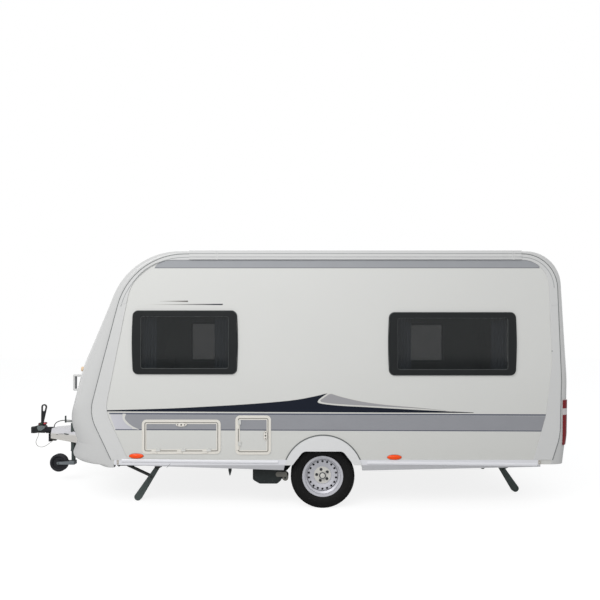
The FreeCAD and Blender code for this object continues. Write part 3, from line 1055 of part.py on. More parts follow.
curtains = []
for name, spot in (("front_near", "dim.window_front_x - dim.window_wide_front / 2 + dim.curtain_ends"),
                   ("front_far", "dim.window_front_x + dim.window_wide_front / 2 - dim.curtain_ends"
                                 " - dim.curtain_wide"),
                   ("rear_near", "dim.window_rear_x - dim.window_wide_rear / 2 + dim.curtain_ends"),
                   ("rear_far", "dim.window_rear_x + dim.window_wide_rear / 2 - dim.curtain_ends"
                                " - dim.curtain_wide")):
    curtains.append(room_box("curtain_" + name, spot, spot + " + dim.curtain_wide", "dim.pad_gap - " + SIDE_Y,
                             "dim.pad_gap + dim.curtain_thick - " + SIDE_Y, "dim.curtain_low",
                             "dim.locker_low - dim.pad_gap"))
keep("curtains", group("curtains", curtains))
doc.recompute()

# Fittings on the far side, the tail and the nose

VENTS = [(1150, 760, 440, 160), (1150, 1180, 440, 160)]
vents = [block(x - wide / 2, x + wide / 2, HALF, HALF + 10, z - high / 2, z + high / 2)
         for x, z, wide, high in VENTS]
CAPS = [(-900, 640, 70), (-1120, 640, 60), (2050, 700, 70)]
caps = [rod(Vector(x, HALF, z), Vector(x, HALF + 14, z), radius) for x, z, radius in CAPS]


def grab_handle(x, y, way, low, high):
    """A round bar on two feet."""
    stand = 45
    bar_x = x + way * stand
    handle = rod(Vector(bar_x, y, low), Vector(bar_x, y, high), 11)
    for z in (low, high):
        handle = handle.fuse(rod(Vector(x - way * 40, y, z), Vector(bar_x, y, z), 11))
        handle = handle.fuse(Part.makeSphere(11, Vector(bar_x, y, z)))
    return handle.cut(outer_form)


GRAB_Y, GRAB_LOW, GRAB_HIGH = 860, 1120, 1260
handles = []
for side in (-1, 1):
    handles.append(grab_handle(nose_face(side * GRAB_Y, GRAB_LOW), side * GRAB_Y, -1, GRAB_LOW, GRAB_HIGH))
keep("body_fittings", tagged("body_fittings_shape", compound(vents + caps + handles)))


# Cables at the drawbar

def cord_tube(name, route, radius):
    """A tube along straight runs joined by tangent arcs, each as large as its two runs allow."""
    points = [Vector(*place) for place in route]
    edges, radii, start = [], [], points[0]
    for i in range(1, len(points) - 1):
        back, ahead = points[i - 1] - points[i], points[i + 1] - points[i]
        reach = 0.45 * min(back.Length, ahead.Length)
        back.normalize()
        ahead.normalize()
        turn = math.pi - back.getAngle(ahead)
        bend = reach / math.tan(turn / 2)
        radii.append(round(bend))
        middle = points[i] + (back + ahead).normalize() * (bend / math.cos(turn / 2) - bend)
        edges.append(Part.LineSegment(start, points[i] + back * reach).toShape())
        edges.append(Part.Arc(points[i] + back * reach, middle, points[i] + ahead * reach).toShape())
        start = points[i] + ahead * reach
    edges.append(Part.LineSegment(start, points[-1]).toShape())
    path = Part.Wire(edges)
    ring = Part.Wire(Part.makeCircle(radius, points[0], points[1] - points[0]))
    tube = path.makePipeShell([ring], True, True)
    share = tube.Volume / (math.pi * radius * radius * path.Length)
    print(name, "length", round(path.Length), "radii", radii, "volume share", round(share, 4))
    return tube


SEAT = 0.3
LEAD_ROUTE = [tuple(GLAND - X_WAY * SEAT), (-2200, 60, 649), (-2275, 62, 656), (-2360, 66, 667),
              (-2445, 70, 674),
              (-2525, 76, 668), (-2585, 86, 645), (-2618, 100, 602), (-2612, 116, 552), (-2575, 127, 510),
              (-2520, 128, 478), (-2453, 128, 462), (-2416, 90, 456), (-2416, 38, 456), (-2453, 0, 461),
              (-2532, 0, PLUG_Z)]
CABLE_ROUTE = [tuple(CABLE_START - Z_WAY * SEAT), (-2729, -40, 510), (-2755, -42, 466), (-2762, -43, 424),
               (-2736, -44, 389),
               (-2692, -45, 378), (-2648, -44, 392), (-2612, -42, 418), (-2580, -41, 440), (-2557, -41, 462),
               tuple(CABLE_END - Z_WAY * SEAT)]
lead_shape = cord_tube("connection_lead", LEAD_ROUTE, at("lead_radius"))
keep("connection_lead", tagged("connection_lead_shape", lead_shape))
cable_shape = cord_tube("breakaway_cable", CABLE_ROUTE, at("brake_cable_radius"))
keep("breakaway_cable", tagged("breakaway_cable_shape", cable_shape))
plug_end = Vector(*LEAD_ROUTE[-1]) - X_WAY * SEAT
plug_back, plug_front = plug_end - X_WAY * 14, Vector(SOCKET_X, 0, PLUG_Z)
lead_plug = Part.makeCone(8, 12, 14, plug_end, -X_WAY).fuse(rod(plug_back, plug_front, 21)).removeSplitter()
keep("lead_plug", tagged("lead_plug_shape", lead_plug))

# Checks, then one STEP file for each node

doc.recompute()
for item in doc.Objects:
    if "Invalid" in item.State or "Error" in item.State:
        raise RuntimeError("%s failed to rebuild" % item.Label)
for label, item in nodes.items():
    shape = item.Shape
    if shape.isNull() or not shape.isValid() or not shape.Solids:
        raise RuntimeError("%s has no valid solid" % label)
for label, item in nodes.items():
    item.Shape.exportStep("parts/%s.step" % label)
print(len(nodes), "nodes written")
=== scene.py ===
import math

import bmesh
import bpy
import numpy as np
from mathutils.bvhtree import BVHTree
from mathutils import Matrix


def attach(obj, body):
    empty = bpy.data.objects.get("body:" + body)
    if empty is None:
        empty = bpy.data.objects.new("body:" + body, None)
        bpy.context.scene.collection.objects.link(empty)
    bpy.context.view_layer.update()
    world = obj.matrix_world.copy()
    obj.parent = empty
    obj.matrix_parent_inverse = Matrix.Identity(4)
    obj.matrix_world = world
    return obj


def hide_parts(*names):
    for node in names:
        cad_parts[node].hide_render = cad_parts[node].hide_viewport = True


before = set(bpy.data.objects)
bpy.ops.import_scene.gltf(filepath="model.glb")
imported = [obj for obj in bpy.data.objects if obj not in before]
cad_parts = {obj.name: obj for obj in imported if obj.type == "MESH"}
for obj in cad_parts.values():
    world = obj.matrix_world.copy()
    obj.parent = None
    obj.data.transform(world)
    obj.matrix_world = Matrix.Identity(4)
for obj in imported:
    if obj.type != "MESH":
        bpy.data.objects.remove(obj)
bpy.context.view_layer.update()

# Camera
# It stands off the street side at eye height and looks square at the side wall, with the
# perspective that the wheel, the windows and the far steadies give.
PICTURE = 600
CAMERA_X, CAMERA_Y, EYE_HEIGHT = 0.2735, -6.150, 1.614
camera = bpy.data.cameras.new("camera")
camera.lens = 31.78
camera.sensor_width = 36.0
camera.shift_x = 1 / PICTURE
camera.shift_y = 40 / PICTURE
camera_object = bpy.data.objects.new("camera", camera)
camera_object.location = (CAMERA_X, CAMERA_Y, EYE_HEIGHT)
camera_object.rotation_euler = (math.radians(90), 0, 0)
bpy.context.scene.collection.objects.link(camera_object)
bpy.context.scene.camera = camera_object
bpy.context.scene.view_settings.view_transform = "Standard"

# Light and floor
# A plain bright sky lights the body from all round, one soft lamp from the camera's side gives
# the panels a little shape, and a pale floor keeps the shadow.
def add_node(tree, kind, inputs=None, **settings):
    """A new shader node of a tree, with its settings and the plain values of its inputs."""
    made = tree.nodes.new("ShaderNode" + kind)
    for name, value in settings.items():
        setattr(made, name, value)
    for name, value in (inputs or {}).items():
        made.inputs[name].default_value = value
    return made


def wire(tree, *pairs):
    """Links an output to an input, pair by pair."""
    for output, target in pairs:
        tree.links.new(output, target)


def show(name, data):
    """Puts a new object with this data into the scene."""
    item = bpy.data.objects.new(name, data)
    bpy.context.scene.collection.objects.link(item)
    return item


SEEN_WHITE, SKY_STRENGTH, LAMP_POWER = 1.0, 0.51, 460
FLOOR_HALF, FLOOR_GREY, FLOOR_GLOW, GLOW_SHARE = 40, 0.78, 1.36, 0.62
world = bpy.data.worlds.new("studio")
bpy.context.scene.world = world
world.use_nodes = True
sky = world.node_tree
sky.nodes.clear()
sky_out = add_node(sky, "OutputWorld")
sky_seen = add_node(sky, "Background", {"Color": (1, 1, 1, 1), "Strength": SEEN_WHITE})
sky_light = add_node(sky, "Background", {"Color": (0.97, 0.985, 1, 1), "Strength": SKY_STRENGTH})
sky_rays = add_node(sky, "LightPath")
sky_any = add_node(sky, "Math", operation="MAXIMUM")
sky_all = add_node(sky, "Math", operation="MAXIMUM")
sky_mix = add_node(sky, "MixShader")
wire(sky, (sky_rays.outputs["Is Camera Ray"], sky_any.inputs[0]),
     (sky_rays.outputs["Is Transmission Ray"], sky_any.inputs[1]),
     (sky_any.outputs[0], sky_all.inputs[0]), (sky_rays.outputs["Is Glossy Ray"], sky_all.inputs[1]),
     (sky_all.outputs[0], sky_mix.inputs[0]), (sky_light.outputs[0], sky_mix.inputs[1]),
     (sky_seen.outputs[0], sky_mix.inputs[2]), (sky_mix.outputs[0], sky_out.inputs[0]))

lamp = bpy.data.lights.new("softbox", "AREA")
lamp.shape = "RECTANGLE"
lamp.size = 9.0
lamp.size_y = 4.0
lamp.energy = LAMP_POWER
lamp_object = show("softbox", lamp)
lamp_object.location = (-2.5, -7.5, 6.5)
lamp_object.rotation_euler = (math.radians(52), 0, math.radians(-18))

floor_mesh = bpy.data.meshes.new("floor")
floor_mesh.from_pydata([(x * FLOOR_HALF, y * FLOOR_HALF, 0) for x, y in ((-1, -1), (1, -1), (1, 1), (-1, 1))],
                       [], [(0, 1, 2, 3)])
floor = show("floor", floor_mesh)
floor_finish = bpy.data.materials.new("floor_pale")
floor_finish.use_nodes = True
ground = floor_finish.node_tree
ground.nodes.clear()
ground_out = add_node(ground, "OutputMaterial")
ground_plain = add_node(ground, "BsdfDiffuse", {"Color": (FLOOR_GREY, FLOOR_GREY, FLOOR_GREY, 1)})
ground_bright = add_node(ground, "Emission", {"Strength": FLOOR_GLOW})
ground_seen = add_node(ground, "MixShader", {0: GLOW_SHARE})
ground_rays = add_node(ground, "LightPath")
ground_mix = add_node(ground, "MixShader")
wire(ground, (ground_plain.outputs[0], ground_seen.inputs[1]),
     (ground_bright.outputs[0], ground_seen.inputs[2]),
     (ground_rays.outputs["Is Camera Ray"], ground_mix.inputs[0]),
     (ground_plain.outputs[0], ground_mix.inputs[1]), (ground_seen.outputs[0], ground_mix.inputs[2]),
     (ground_mix.outputs[0], ground_out.inputs[0]))
floor.data.materials.append(floor_finish)


# Connection lead and its plug
# The black rubber lead comes out of a gland on the drawbar cover, bows forward over it and drops
# round the front to its plug, which is parked in a holder under the draw housing.
def linear(red, green, blue):
    """A colour read from the screen, 0 to 255, as linear light: c / 12.92 below 0.04, and
    ((c + 0.055) / 1.055) ^ 2.4 above."""
    c = np.array([red, green, blue]) / 255.0
    return tuple(np.where(c < 0.04045, c / 12.92, ((c + 0.055) / 1.055) ** 2.4)) + (1.0,)


def finish(name, colour, rough=0.4, blotch=0.03, blotch_size=3.0, grain=0.0002, grain_size=900.0, metal=0.0,
           coat=0.0, alpha=1.0, fade=None, shine=0.5):
    """A material for one finish. Its colour is colour * (1 + blotch * (noise - 0.5) * 2) from a soft
    noise on Object coordinates, its surface has a fine noise as bump, and its roughness follows the soft
    noise a little. fade = (axis, start, end, other colour) turns the colour into another one along an
    axis."""
    made = bpy.data.materials.new(name)
    made.use_nodes = True
    tree = made.node_tree
    shader = tree.nodes["Principled BSDF"]
    base = np.array(linear(*colour)[:3])
    dark, pale = [tuple(np.clip(base * (1 + change), 0, 1)) + (1,) for change in (-blotch, blotch)]
    place = add_node(tree, "TexCoord")
    soft = add_node(tree, "TexNoise", {"Scale": blotch_size, "Detail": 3.0})
    mix = add_node(tree, "Mix", {"A": dark, "B": pale}, data_type="RGBA")
    gloss = add_node(tree, "MapRange", {"To Min": max(0.02, rough - 0.06), "To Max": min(1.0, rough + 0.06)})
    fine = add_node(tree, "TexNoise", {"Scale": grain_size})
    bump = add_node(tree, "Bump", {"Distance": grain})
    result = mix.outputs["Result"]
    if fade:
        axis, start, end, other = fade
        parts = add_node(tree, "SeparateXYZ")
        ramp = add_node(tree, "MapRange", {"From Min": start, "From Max": end})
        second = add_node(tree, "Mix", {"B": linear(*other)}, data_type="RGBA")
        wire(tree, (place.outputs["Object"], parts.inputs[0]), (parts.outputs[axis], ramp.inputs["Value"]),
             (ramp.outputs[0], second.inputs["Factor"]), (result, second.inputs["A"]))
        result = second.outputs["Result"]
    wire(tree, (place.outputs["Object"], soft.inputs["Vector"]), (soft.outputs["Fac"], mix.inputs["Factor"]),
         (result, shader.inputs["Base Color"]), (soft.outputs["Fac"], gloss.inputs["Value"]),
         (gloss.outputs[0], shader.inputs["Roughness"]), (place.outputs["Object"], fine.inputs["Vector"]),
         (fine.outputs["Fac"], bump.inputs["Height"]), (bump.outputs["Normal"], shader.inputs["Normal"]))
    for socket, value in (("Metallic", metal), ("Specular IOR Level", shine), ("Coat Weight", coat),
                          ("Coat Roughness", 0.08), ("Alpha", alpha)):
        shader.inputs[socket].default_value = value
    return made


def dress(material, *names):
    """Gives CAD nodes one material, keeping their meshes."""
    for name in names:
        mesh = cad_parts[name].data
        mesh.materials.clear()
        mesh.materials.append(material)


def flex(name, route, radius, material):
    """A free cord: one open NURBS spline whose control points are the route's corners."""
    curve = bpy.data.curves.new(name, "CURVE")
    curve.dimensions = "3D"
    curve.bevel_depth = radius
    curve.bevel_resolution = 4
    curve.use_fill_caps = True
    spline = curve.splines.new("NURBS")
    spline.points.add(len(route) - 1)
    spline.points.foreach_set("co", np.column_stack([np.array(route), np.ones(len(route))]).ravel())
    spline.order_u = 3
    spline.use_endpoint_u = True
    spline.resolution_u = 12
    curve.materials.append(material)
    return show(name, curve)


lead_rubber = finish("lead_rubber", (52, 52, 50), 0.5, 0.12, 30, 0.0002, 700, shine=0.3)
dress(lead_rubber, "lead_plug")
lead_route = [(-2.1403, 0.060, 0.648), (-2.200, 0.060, 0.649), (-2.275, 0.062, 0.656), (-2.360, 0.066, 0.667),
              (-2.445, 0.070, 0.674), (-2.525, 0.076, 0.668), (-2.585, 0.086, 0.645), (-2.618, 0.100, 0.602),
              (-2.612, 0.116, 0.552), (-2.575, 0.127, 0.510), (-2.520, 0.128, 0.478), (-2.453, 0.128, 0.462),
              (-2.416, 0.090, 0.456), (-2.416, 0.038, 0.456), (-2.453, 0.000, 0.461), (-2.532, 0.000, 0.466)]
lead = flex("lead_cord", lead_route, 0.005, lead_rubber)
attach(lead, "body")
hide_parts("connection_lead")

# Breakaway cable
# A thin sheathed steel cable hangs in a loop from a lug on the coupling head back to a lug on
# the draw housing. It pulls the brake on if the coupling lets go.
cable_sheath = finish("cable_sheath", (120, 116, 108), 0.35, 0.1, 60, 0.0001, 1500, metal=0.4)
cable_route = [(-2.729, -0.040, 0.5497), (-2.729, -0.040, 0.510), (-2.755, -0.042, 0.466),
               (-2.762, -0.043, 0.424), (-2.736, -0.044, 0.389), (-2.692, -0.045, 0.378),
               (-2.648, -0.044, 0.392), (-2.612, -0.042, 0.418), (-2.580, -0.041, 0.440),
               (-2.557, -0.041, 0.462), (-2.556, -0.041, 0.4857)]
cable = flex("breakaway_loop", cable_route, 0.0025, cable_sheath)
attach(cable, "body")
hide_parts("breakaway_cable")

# Side walls
# Sandwich walls with a smooth painted aluminium skin in a warm white, painted a little darker low
# down as painted shade. The window holes, flaps and arches are cut out of the sheet.
wall_white = finish("wall_white", (215, 215, 212), 0.34, 0.012, 1.3, 0.0004, 260, shine=0.4,
                    fade=("Z", 1.35, 0.45, (208, 208, 204)))
dress(wall_white, "side_wall_left", "side_wall_right", "storage_flap", "service_flap", "door")

# Mouldings at both ends
# The nose, the tail, the gas locker's lid and the roof are gloss moulded panels, slightly cooler
# than the walls. The aluminium corner trims are painted to match.
# Low down the nose and tail are painted a little darker: painted shade, as on the walls.
nose_white = finish("nose_white", (204, 204, 203), 0.26, 0.01, 1.1, 0.0003, 180, coat=0.15, shine=0.4,
                    fade=("Z", 1.2, 0.42, (200, 200, 199)))
dress(nose_white, "nose_panel", "nose_apron", "tail_panel", "gas_lid", "roof_panel")
trim_white = finish("trim_white", (209, 209, 208), 0.3, 0.01, 2.2, 0.0002, 300, coat=0.1, shine=0.4)
dress(trim_white, "edge_trims", "roof_rails", "body_fittings")
arch_white = finish("arch_white", (222, 222, 222), 0.3, 0.01, 2.2, 0.0002, 300, coat=0.1, shine=0.4)
dress(arch_white, "arch_trims")
# Below its strip the skirt turns darker grey: painted shade under the strip.
skirt_white = finish("skirt_white", (224, 224, 228), 0.3, 0.02, 3.0, 0.0002, 300,
                     fade=("Z", 0.4420, 0.4300, (182, 182, 185)))
dress(skirt_white, "skirts")
border_cream = finish("border_cream", (226, 222, 214), 0.38, 0.015, 8.0, 0.0002, 500)
dress(border_cream, "flap_frames")

# Stripes on both side walls
# Cut vinyl film, 0.3 mm thick, stuck on the walls: a grey stripe under the roof rail, a navy
# wedge with a pale grey wing, thin lines, and a grey band that starts in a pale lilac field.
SIDES = ((-1, "left"), (1, "right"))
WALL = 1.150
FILM = 0.0003
SHARP = 38
MERGE = 0.00001


def outward(mesh):
    """Merges doubled points and turns every face outwards."""
    work = bmesh.new()
    work.from_mesh(mesh)
    bmesh.ops.remove_doubles(work, verts=work.verts, dist=MERGE)
    bmesh.ops.recalc_face_normals(work, faces=work.faces)
    work.to_mesh(mesh)
    work.free()


def skin(name, grid, body, material, closed_u=False, caps=False, closed_v=True, smooth=True):
    """A mesh over a grid of points [u, v]: one quad for each cell, wrapped round v and if asked round u,
    with flat ends where caps is true. Its normals are turned outwards."""
    rows, columns = grid.shape[:2]
    number = np.arange(rows * columns).reshape(rows, columns)
    low = number if closed_u else number[:-1]
    high = np.roll(number, -1, axis=0) if closed_u else number[1:]
    if not closed_v:
        low_next, high_next, low, high = low[:, 1:], high[:, 1:], low[:, :-1], high[:, :-1]
    else:
        low_next, high_next = np.roll(low, -1, axis=1), np.roll(high, -1, axis=1)
    faces = np.stack([low, low_next, high_next, high], axis=-1).reshape(-1, 4).tolist()
    if caps:
        faces += [number[0, ::-1].tolist(), number[-1].tolist()]
    mesh = bpy.data.meshes.new(name)
    mesh.from_pydata(grid.reshape(-1, 3).tolist(), [], faces)
    outward(mesh)
    if smooth:
        mesh.shade_smooth()
        mesh.set_sharp_from_angle(angle=math.radians(SHARP))
    mesh.materials.append(material)
    item = show(name, mesh)
    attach(item, body)
    return item


def tile(name, outline, y_face, y_back, body, material, slot_name):
    """A flat plate in the XZ plane, as thick as from y_back to y_face."""
    points = np.array(outline, dtype=float)
    grid = np.stack([np.column_stack([points[:, 0], np.full(len(points), y), points[:, 1]])
                     for y in (y_back, y_face)])
    return skin(name, grid, body, material, caps=True, smooth=False)


def film(name, outline, side, body, material, lift=0.0004):
    """A flat sheet on a side wall, whose outer face stands lift outside the wall."""
    face = side * (WALL + lift)
    return tile(name, outline, face, face - side * FILM, body, material, "wall_skin")


def cut_to(outline, low_x, high_x, low_z=0.0, high_z=3.0):
    """The part of a polygon inside a window: each of the four edges in turn keeps the points on
    its inner side and adds the crossing of every run that passes it."""
    points = np.array(outline, dtype=float)
    for axis, limit, sense in ((0, low_x, 1), (0, high_x, -1), (1, low_z, 1), (1, high_z, -1)):
        if len(points) < 3:
            return []
        after = np.roll(points, -1, axis=0)
        here, there = sense * (points[:, axis] - limit), sense * (after[:, axis] - limit)
        crossing = (here > 0) != (there > 0)
        share = here / np.where(crossing, here - there, 1.0)
        cuts = points + (after - points) * share[:, None]
        both = np.stack([points, cuts], axis=1).reshape(-1, 2)
        points = both[np.stack([here > 0, crossing], axis=1).ravel()]
    return points if len(points) >= 3 else []


SLOPE = -0.0034
AXIS_PIXEL = (299, 340)
WALL_PIXEL = 0.00944


def seen(*pixels):
    """Wall places (x, z) in metres of points given in pixels of the camera's view of the left wall."""
    spots = np.array(pixels, dtype=float)
    return np.column_stack([CAMERA_X + (spots[:, 0] - AXIS_PIXEL[0]) * WALL_PIXEL,
                            EYE_HEIGHT - (spots[:, 1] - AXIS_PIXEL[1]) * WALL_PIXEL])


def eased(points, steps=6):
    """A smooth run through points, by Catmull-Rom pieces: half of (2b + (c - a)t + (2a - 5b + 4c - d)t^2
    + (3b - a - 3c + d)t^3) for each four points in a row."""
    line = np.vstack([2 * points[0] - points[1], points, 2 * points[-1] - points[-2]])
    a, b, c, d = line[:-3, None], line[1:-2, None], line[2:-1, None], line[3:, None]
    t = np.linspace(0, 1, steps, endpoint=False)[None, :, None]
    run = (2 * b + (c - a) * t + (2 * a - 5 * b + 4 * c - d) * t ** 2
           + (3 * b - a - 3 * c + d) * t ** 3)
    return np.vstack([0.5 * run.reshape(-1, 2), points[-1:]])


navy_film = finish("navy_film", (13, 20, 35), 0.34, 0.05, 5, 0.0001, 400, shine=0.2)
grey_film, stripe_film, stripe_edge, line_film = [
    finish(name, colour, 0.36, 0.03, 6, 0.0001, 400) for name, colour in (
        ("grey_film", (146, 147, 152)), ("stripe_film", (154, 156, 160)), ("stripe_edge", (112, 113, 116)),
        ("line_film", (84, 88, 104)))]
wing_film = finish("wing_film", (155, 154, 157), 0.34, 0.02, 6, 0.0001, 400)
cream_film = finish("cream_film", (212, 211, 206), 0.36, 0.01, 6, 0.0001, 400)
lilac_film = finish("lilac_film", (201, 200, 206), 0.34, 0.02, 5, 0.0001, 400,
                    fade=("X", -1.53, -1.22, (188, 188, 196)))

LINE_FRONT = -1.510
band_low, band_high = 0.7720, 0.910


def level(z_front):
    """Height of a line that falls slightly towards the rear: z_front + SLOPE * (x - LINE_FRONT)."""
    return lambda x: z_front + SLOPE * (x - LINE_FRONT)


def strip(low, high, front, rear):
    """A long strip between two heights; front and rear are the (x at the low side, x at the high side)."""
    floor_line, roof_line = level(low), level(high)
    return [(front[0], floor_line(front[0])), (rear[0], floor_line(rear[0])),
            (rear[1], roof_line(rear[1])), (front[1], roof_line(front[1]))]


def traced(*pixels):
    """A smooth run through places given in pixels."""
    return eased(seen(*pixels))


navy_top = traced((107, 410.2), (145, 409.2), (181.8, 407.9), (243, 404.5), (289, 400.7), (312, 396.9),
                  (327.4, 393.3))
wing_edge = traced((327.4, 393.3), (321.5, 397.4), (318.3, 400.4), (319.6, 403.2), (337, 405.5),
                   (365.7, 407.1), (420, 410.0), (473.5, 412.4))
navy = np.vstack([navy_top, wing_edge[1:], seen((473.5, 412.9), (107, 411.4))])
cream_top = traced((331.0, 393.0), (343, 396.6), (362, 400.9), (384.8, 404.2), (420, 407.4), (452, 411.0))
cream_foot = traced((452, 411.6), (420, 409.7), (384.8, 407.8), (365.7, 406.8), (337, 405.2), (320.0, 402.9),
                    (318.7, 400.4), (322, 397.5), (327.6, 393.3))
grey_top = traced((331.2, 393.8), (342.7, 397.3), (361.9, 401.6), (384.8, 404.8), (420, 407.9), (446, 410.6))
grey_foot = traced((446, 410.9), (420, 408.6), (384.8, 406.7), (344.6, 404.5), (324.5, 402.6), (320.4, 400.6),
                   (323, 398.3), (329, 394.3))
crescent_front = traced((122.6, 413.6), (122.7, 418.4), (125.5, 423.3), (130.6, 426.8), (137.5, 429.6))
crescent_rear = traced((139.5, 429.6), (131.9, 425.8), (127.4, 422), (124.9, 418.4), (126.0, 413.8))
band_front = traced((126.0, 414.2), (124.9, 418.4), (127.4, 422), (131.9, 425.8), (137, 429.4))[::-1]
band_rear = [(2.602, level(band_high)(2.602)), (2.578, level(band_low)(2.578))]
stripe_front = traced((154.2, 268.2), (157.6, 264.0), (166, 259.4), (180, 257.0), (201.6, 256.4),
                      (240, 256.4))
stripe_rear = [(2.52, 2.3665), (2.536, 2.335), (2.5455, 2.2918)]
stripe_foot = [(-1.0900, 2.2918), (2.5455, 2.2918), (2.5440, 2.2980), (-1.0780, 2.2980)]
marks = [
    ("stripe", np.vstack([stripe_front, stripe_rear]), stripe_film, 0.0004),
    ("stripe_foot", stripe_foot, stripe_edge, 0.0007),
    ("navy_wedge", navy, navy_film, 0.0004),
    ("cream_wing", np.vstack([cream_top, cream_foot]), cream_film, 0.0007),
    ("grey_wing", np.vstack([grey_top, grey_foot]), wing_film, 0.0010),
    ("cream_line", strip(0.9270, 0.9375, (-1.52, -1.53), (2.606, 2.608)), cream_film, 0.0004),
    ("dark_line", strip(0.9130, 0.9265, (-1.515, -1.52), (2.604, 2.606)), line_film, 0.0004),
    ("lilac_field", strip(band_low, band_high, (-1.462, -1.51), (-1.30, -1.33)), lilac_film, 0.0004),
    ("crescent", np.vstack([crescent_front, crescent_rear]), cream_film, 0.0010),
    ("band", np.vstack([band_front, band_rear]), grey_film, 0.0007),
    ("under_line", strip(0.7640, 0.7725, (-1.458, -1.462), (2.577, 2.578)), line_film, 0.0007)]
WALL_END, DOOR_EDGE = 3, -0.5695
wall_parts = {
    -1: [("a", "body", -WALL_END, -1.180, 0, 3), ("b", "body", -1.180, -0.492, 0.835, 3),
         ("c", "body", -0.492, -0.298, 0, 3), ("d", "body", -0.298, -0.018, 0.874, 3),
         ("e", "body", -0.018, WALL_END, 0, 3), ("flap", "storage_flap", -1.1755, -0.4975, 0, 0.8300),
         ("hatch", "service_flap", -0.2935, -0.0235, 0, 0.8690)],
    1: [("a", "body", -WALL_END, DOOR_EDGE, 0, 3), ("b", "body", 0.0495, WALL_END, 0, 3),
        ("door", "entrance_door", -0.559, 0.039, 0, 2.17), ("top", "body", DOOR_EDGE, 0.0495, 2.184, 3)]}
for side, side_name in SIDES:
    for mark, outline, material, lift in marks:
        for part_name, body, low_x, high_x, low_z, high_z in wall_parts[side]:
            piece = cut_to(outline, low_x, high_x, low_z, high_z)
            if len(piece):
                film("%s_%s_%s" % (mark, side_name, part_name), piece, side, body, material, lift)

# Two fading lines over the front windows
# Thin printed film. Each line starts in the colour of the wall at its front end and darkens
# towards the rear.
streak_upper = finish("streak_upper", (214, 213, 209), 0.34, 0.01, 6, 0.0001, 400,
                      fade=("X", -1.08, -0.78, (86, 82, 78)))
streak_lower = finish("streak_lower", (215, 214, 210), 0.34, 0.01, 6, 0.0001, 400,
                      fade=("X", -1.15, -0.52, (40, 40, 50)))
upper_streak = seen((160, 301.0), (160, 301.5), (188, 302.0), (188, 300.6))
lower_streak = seen((145, 304.2), (145, 304.7), (222.5, 305.1), (223, 303.8))
for side, side_name in SIDES:
    film("upper_streak_" + side_name, upper_streak, side, "body", streak_upper)
    rear_end = WALL_END if side < 0 else DOOR_EDGE
    film("lower_streak_" + side_name, cut_to(lower_streak, -WALL_END, rear_end), side, "body", streak_lower)

# Windows
# Each window is a bowed black moulded frame that stands off the wall, with a tinted double
# acrylic pane. A rubber seal lies round the pane, and a lip and a gasket round the frame.
window_black = finish("window_black", (20, 23, 24), 0.32, 0.08, 9, 0.0003, 350, shine=0.28)
dress(window_black, "window_frames")
tinted = finish("tinted_pane", (22, 26, 27), 0.05, 0.04, 2, 0.000004, 60, alpha=0.6)
tinted.node_tree.nodes["Principled BSDF"].inputs["IOR"].default_value = 1.45
dress(tinted, "window_panes", "door_glass")
seal_rubber = finish("seal_rubber", (74, 77, 77), 0.6, 0.06, 30, 0.0002, 700)


def loop_corners(x, z, wide, high, radius, bow=0.0):
    """Points round a rounded rectangle in the wall's plane: each corner is a quarter circle, and the short
    sides bow out by bow * (1 - (2 h / high)^2)."""
    turn = np.linspace(0, math.pi / 2, 7)
    quarter = np.column_stack([np.cos(turn), np.sin(turn)]) * radius
    inner = np.array([wide / 2 - radius, high / 2 - radius])
    rows = []
    for count, (sx, sz) in enumerate(((1, 1), (-1, 1), (-1, -1), (1, -1))):
        bend = quarter if count % 2 == 0 else quarter[::-1]
        rows.append((bend + inner) * (sx, sz))
        if count in (1, 3):
            heights = np.linspace(inner[1], -inner[1], 9)[1:-1] * sz
            rows.append(np.column_stack([np.full(7, sx * wide / 2), heights]))
    outline = np.vstack(rows)
    outline[:, 0] += np.sign(outline[:, 0]) * bow * (1 - (2 * outline[:, 1] / high) ** 2)
    return outline + (x, z)


def hose(name, points, radius, body, material, closed=False, sides=10, flatten=1.0, helper=None):
    """A tube along a run of points in space: each ring is
    centre + radius * (cos a * n + flatten * sin a * b), where n and b are square to the run, and n to the
    helper too."""
    line = np.array(points, dtype=float)
    ahead = np.roll(line, -1, axis=0) - np.roll(line, 1, axis=0)
    if not closed:
        ahead[0], ahead[-1] = line[1] - line[0], line[-1] - line[-2]
    ahead /= np.linalg.norm(ahead, axis=1)[:, None]
    if helper is None:
        helper = np.where(np.abs(ahead[:, 2:3]) < 0.9, (0.0, 0.0, 1.0), (1.0, 0.0, 0.0))
    one = np.cross(ahead, helper)
    one /= np.linalg.norm(one, axis=1)[:, None]
    two = np.cross(ahead, one)
    angle = circle(sides)[None, :, None]
    grid = line[:, None] + radius * (np.cos(angle) * one[:, None] + flatten * np.sin(angle) * two[:, None])
    return skin(name, grid, body, material, closed_u=closed, caps=not closed)


def bead(name, outline, y, radius, body, material, slot_name, closed=True, sides=8, flatten=1.0):
    """A tube along an (x, z) outline at one y, flattened along Y."""
    line = np.array(outline, dtype=float)
    points = np.column_stack([line[:, 0], np.full(len(line), y), line[:, 1]])
    return hose(name, points, radius, body, material, closed, sides, flatten, (0.0, 1.0, 0.0))


def circle(count):
    """Angles of count points round a circle."""
    return np.linspace(0, 2 * math.pi, count, endpoint=False)


def oval(x, z, half_x, half_z, count):
    """Points (x + half_x cos a, z + half_z sin a) round an oval."""
    turn = circle(count)
    return np.column_stack([x + half_x * np.cos(turn), z + half_z * np.sin(turn)])


def rim(name, loop, stand, radius, look, side=-1, flatten=0.6):
    """A bead round a rounded rectangle on a side wall, its middle line stand outside the wall."""
    return bead(name, loop_corners(*loop), side * (WALL + stand), radius, *look, flatten=flatten)


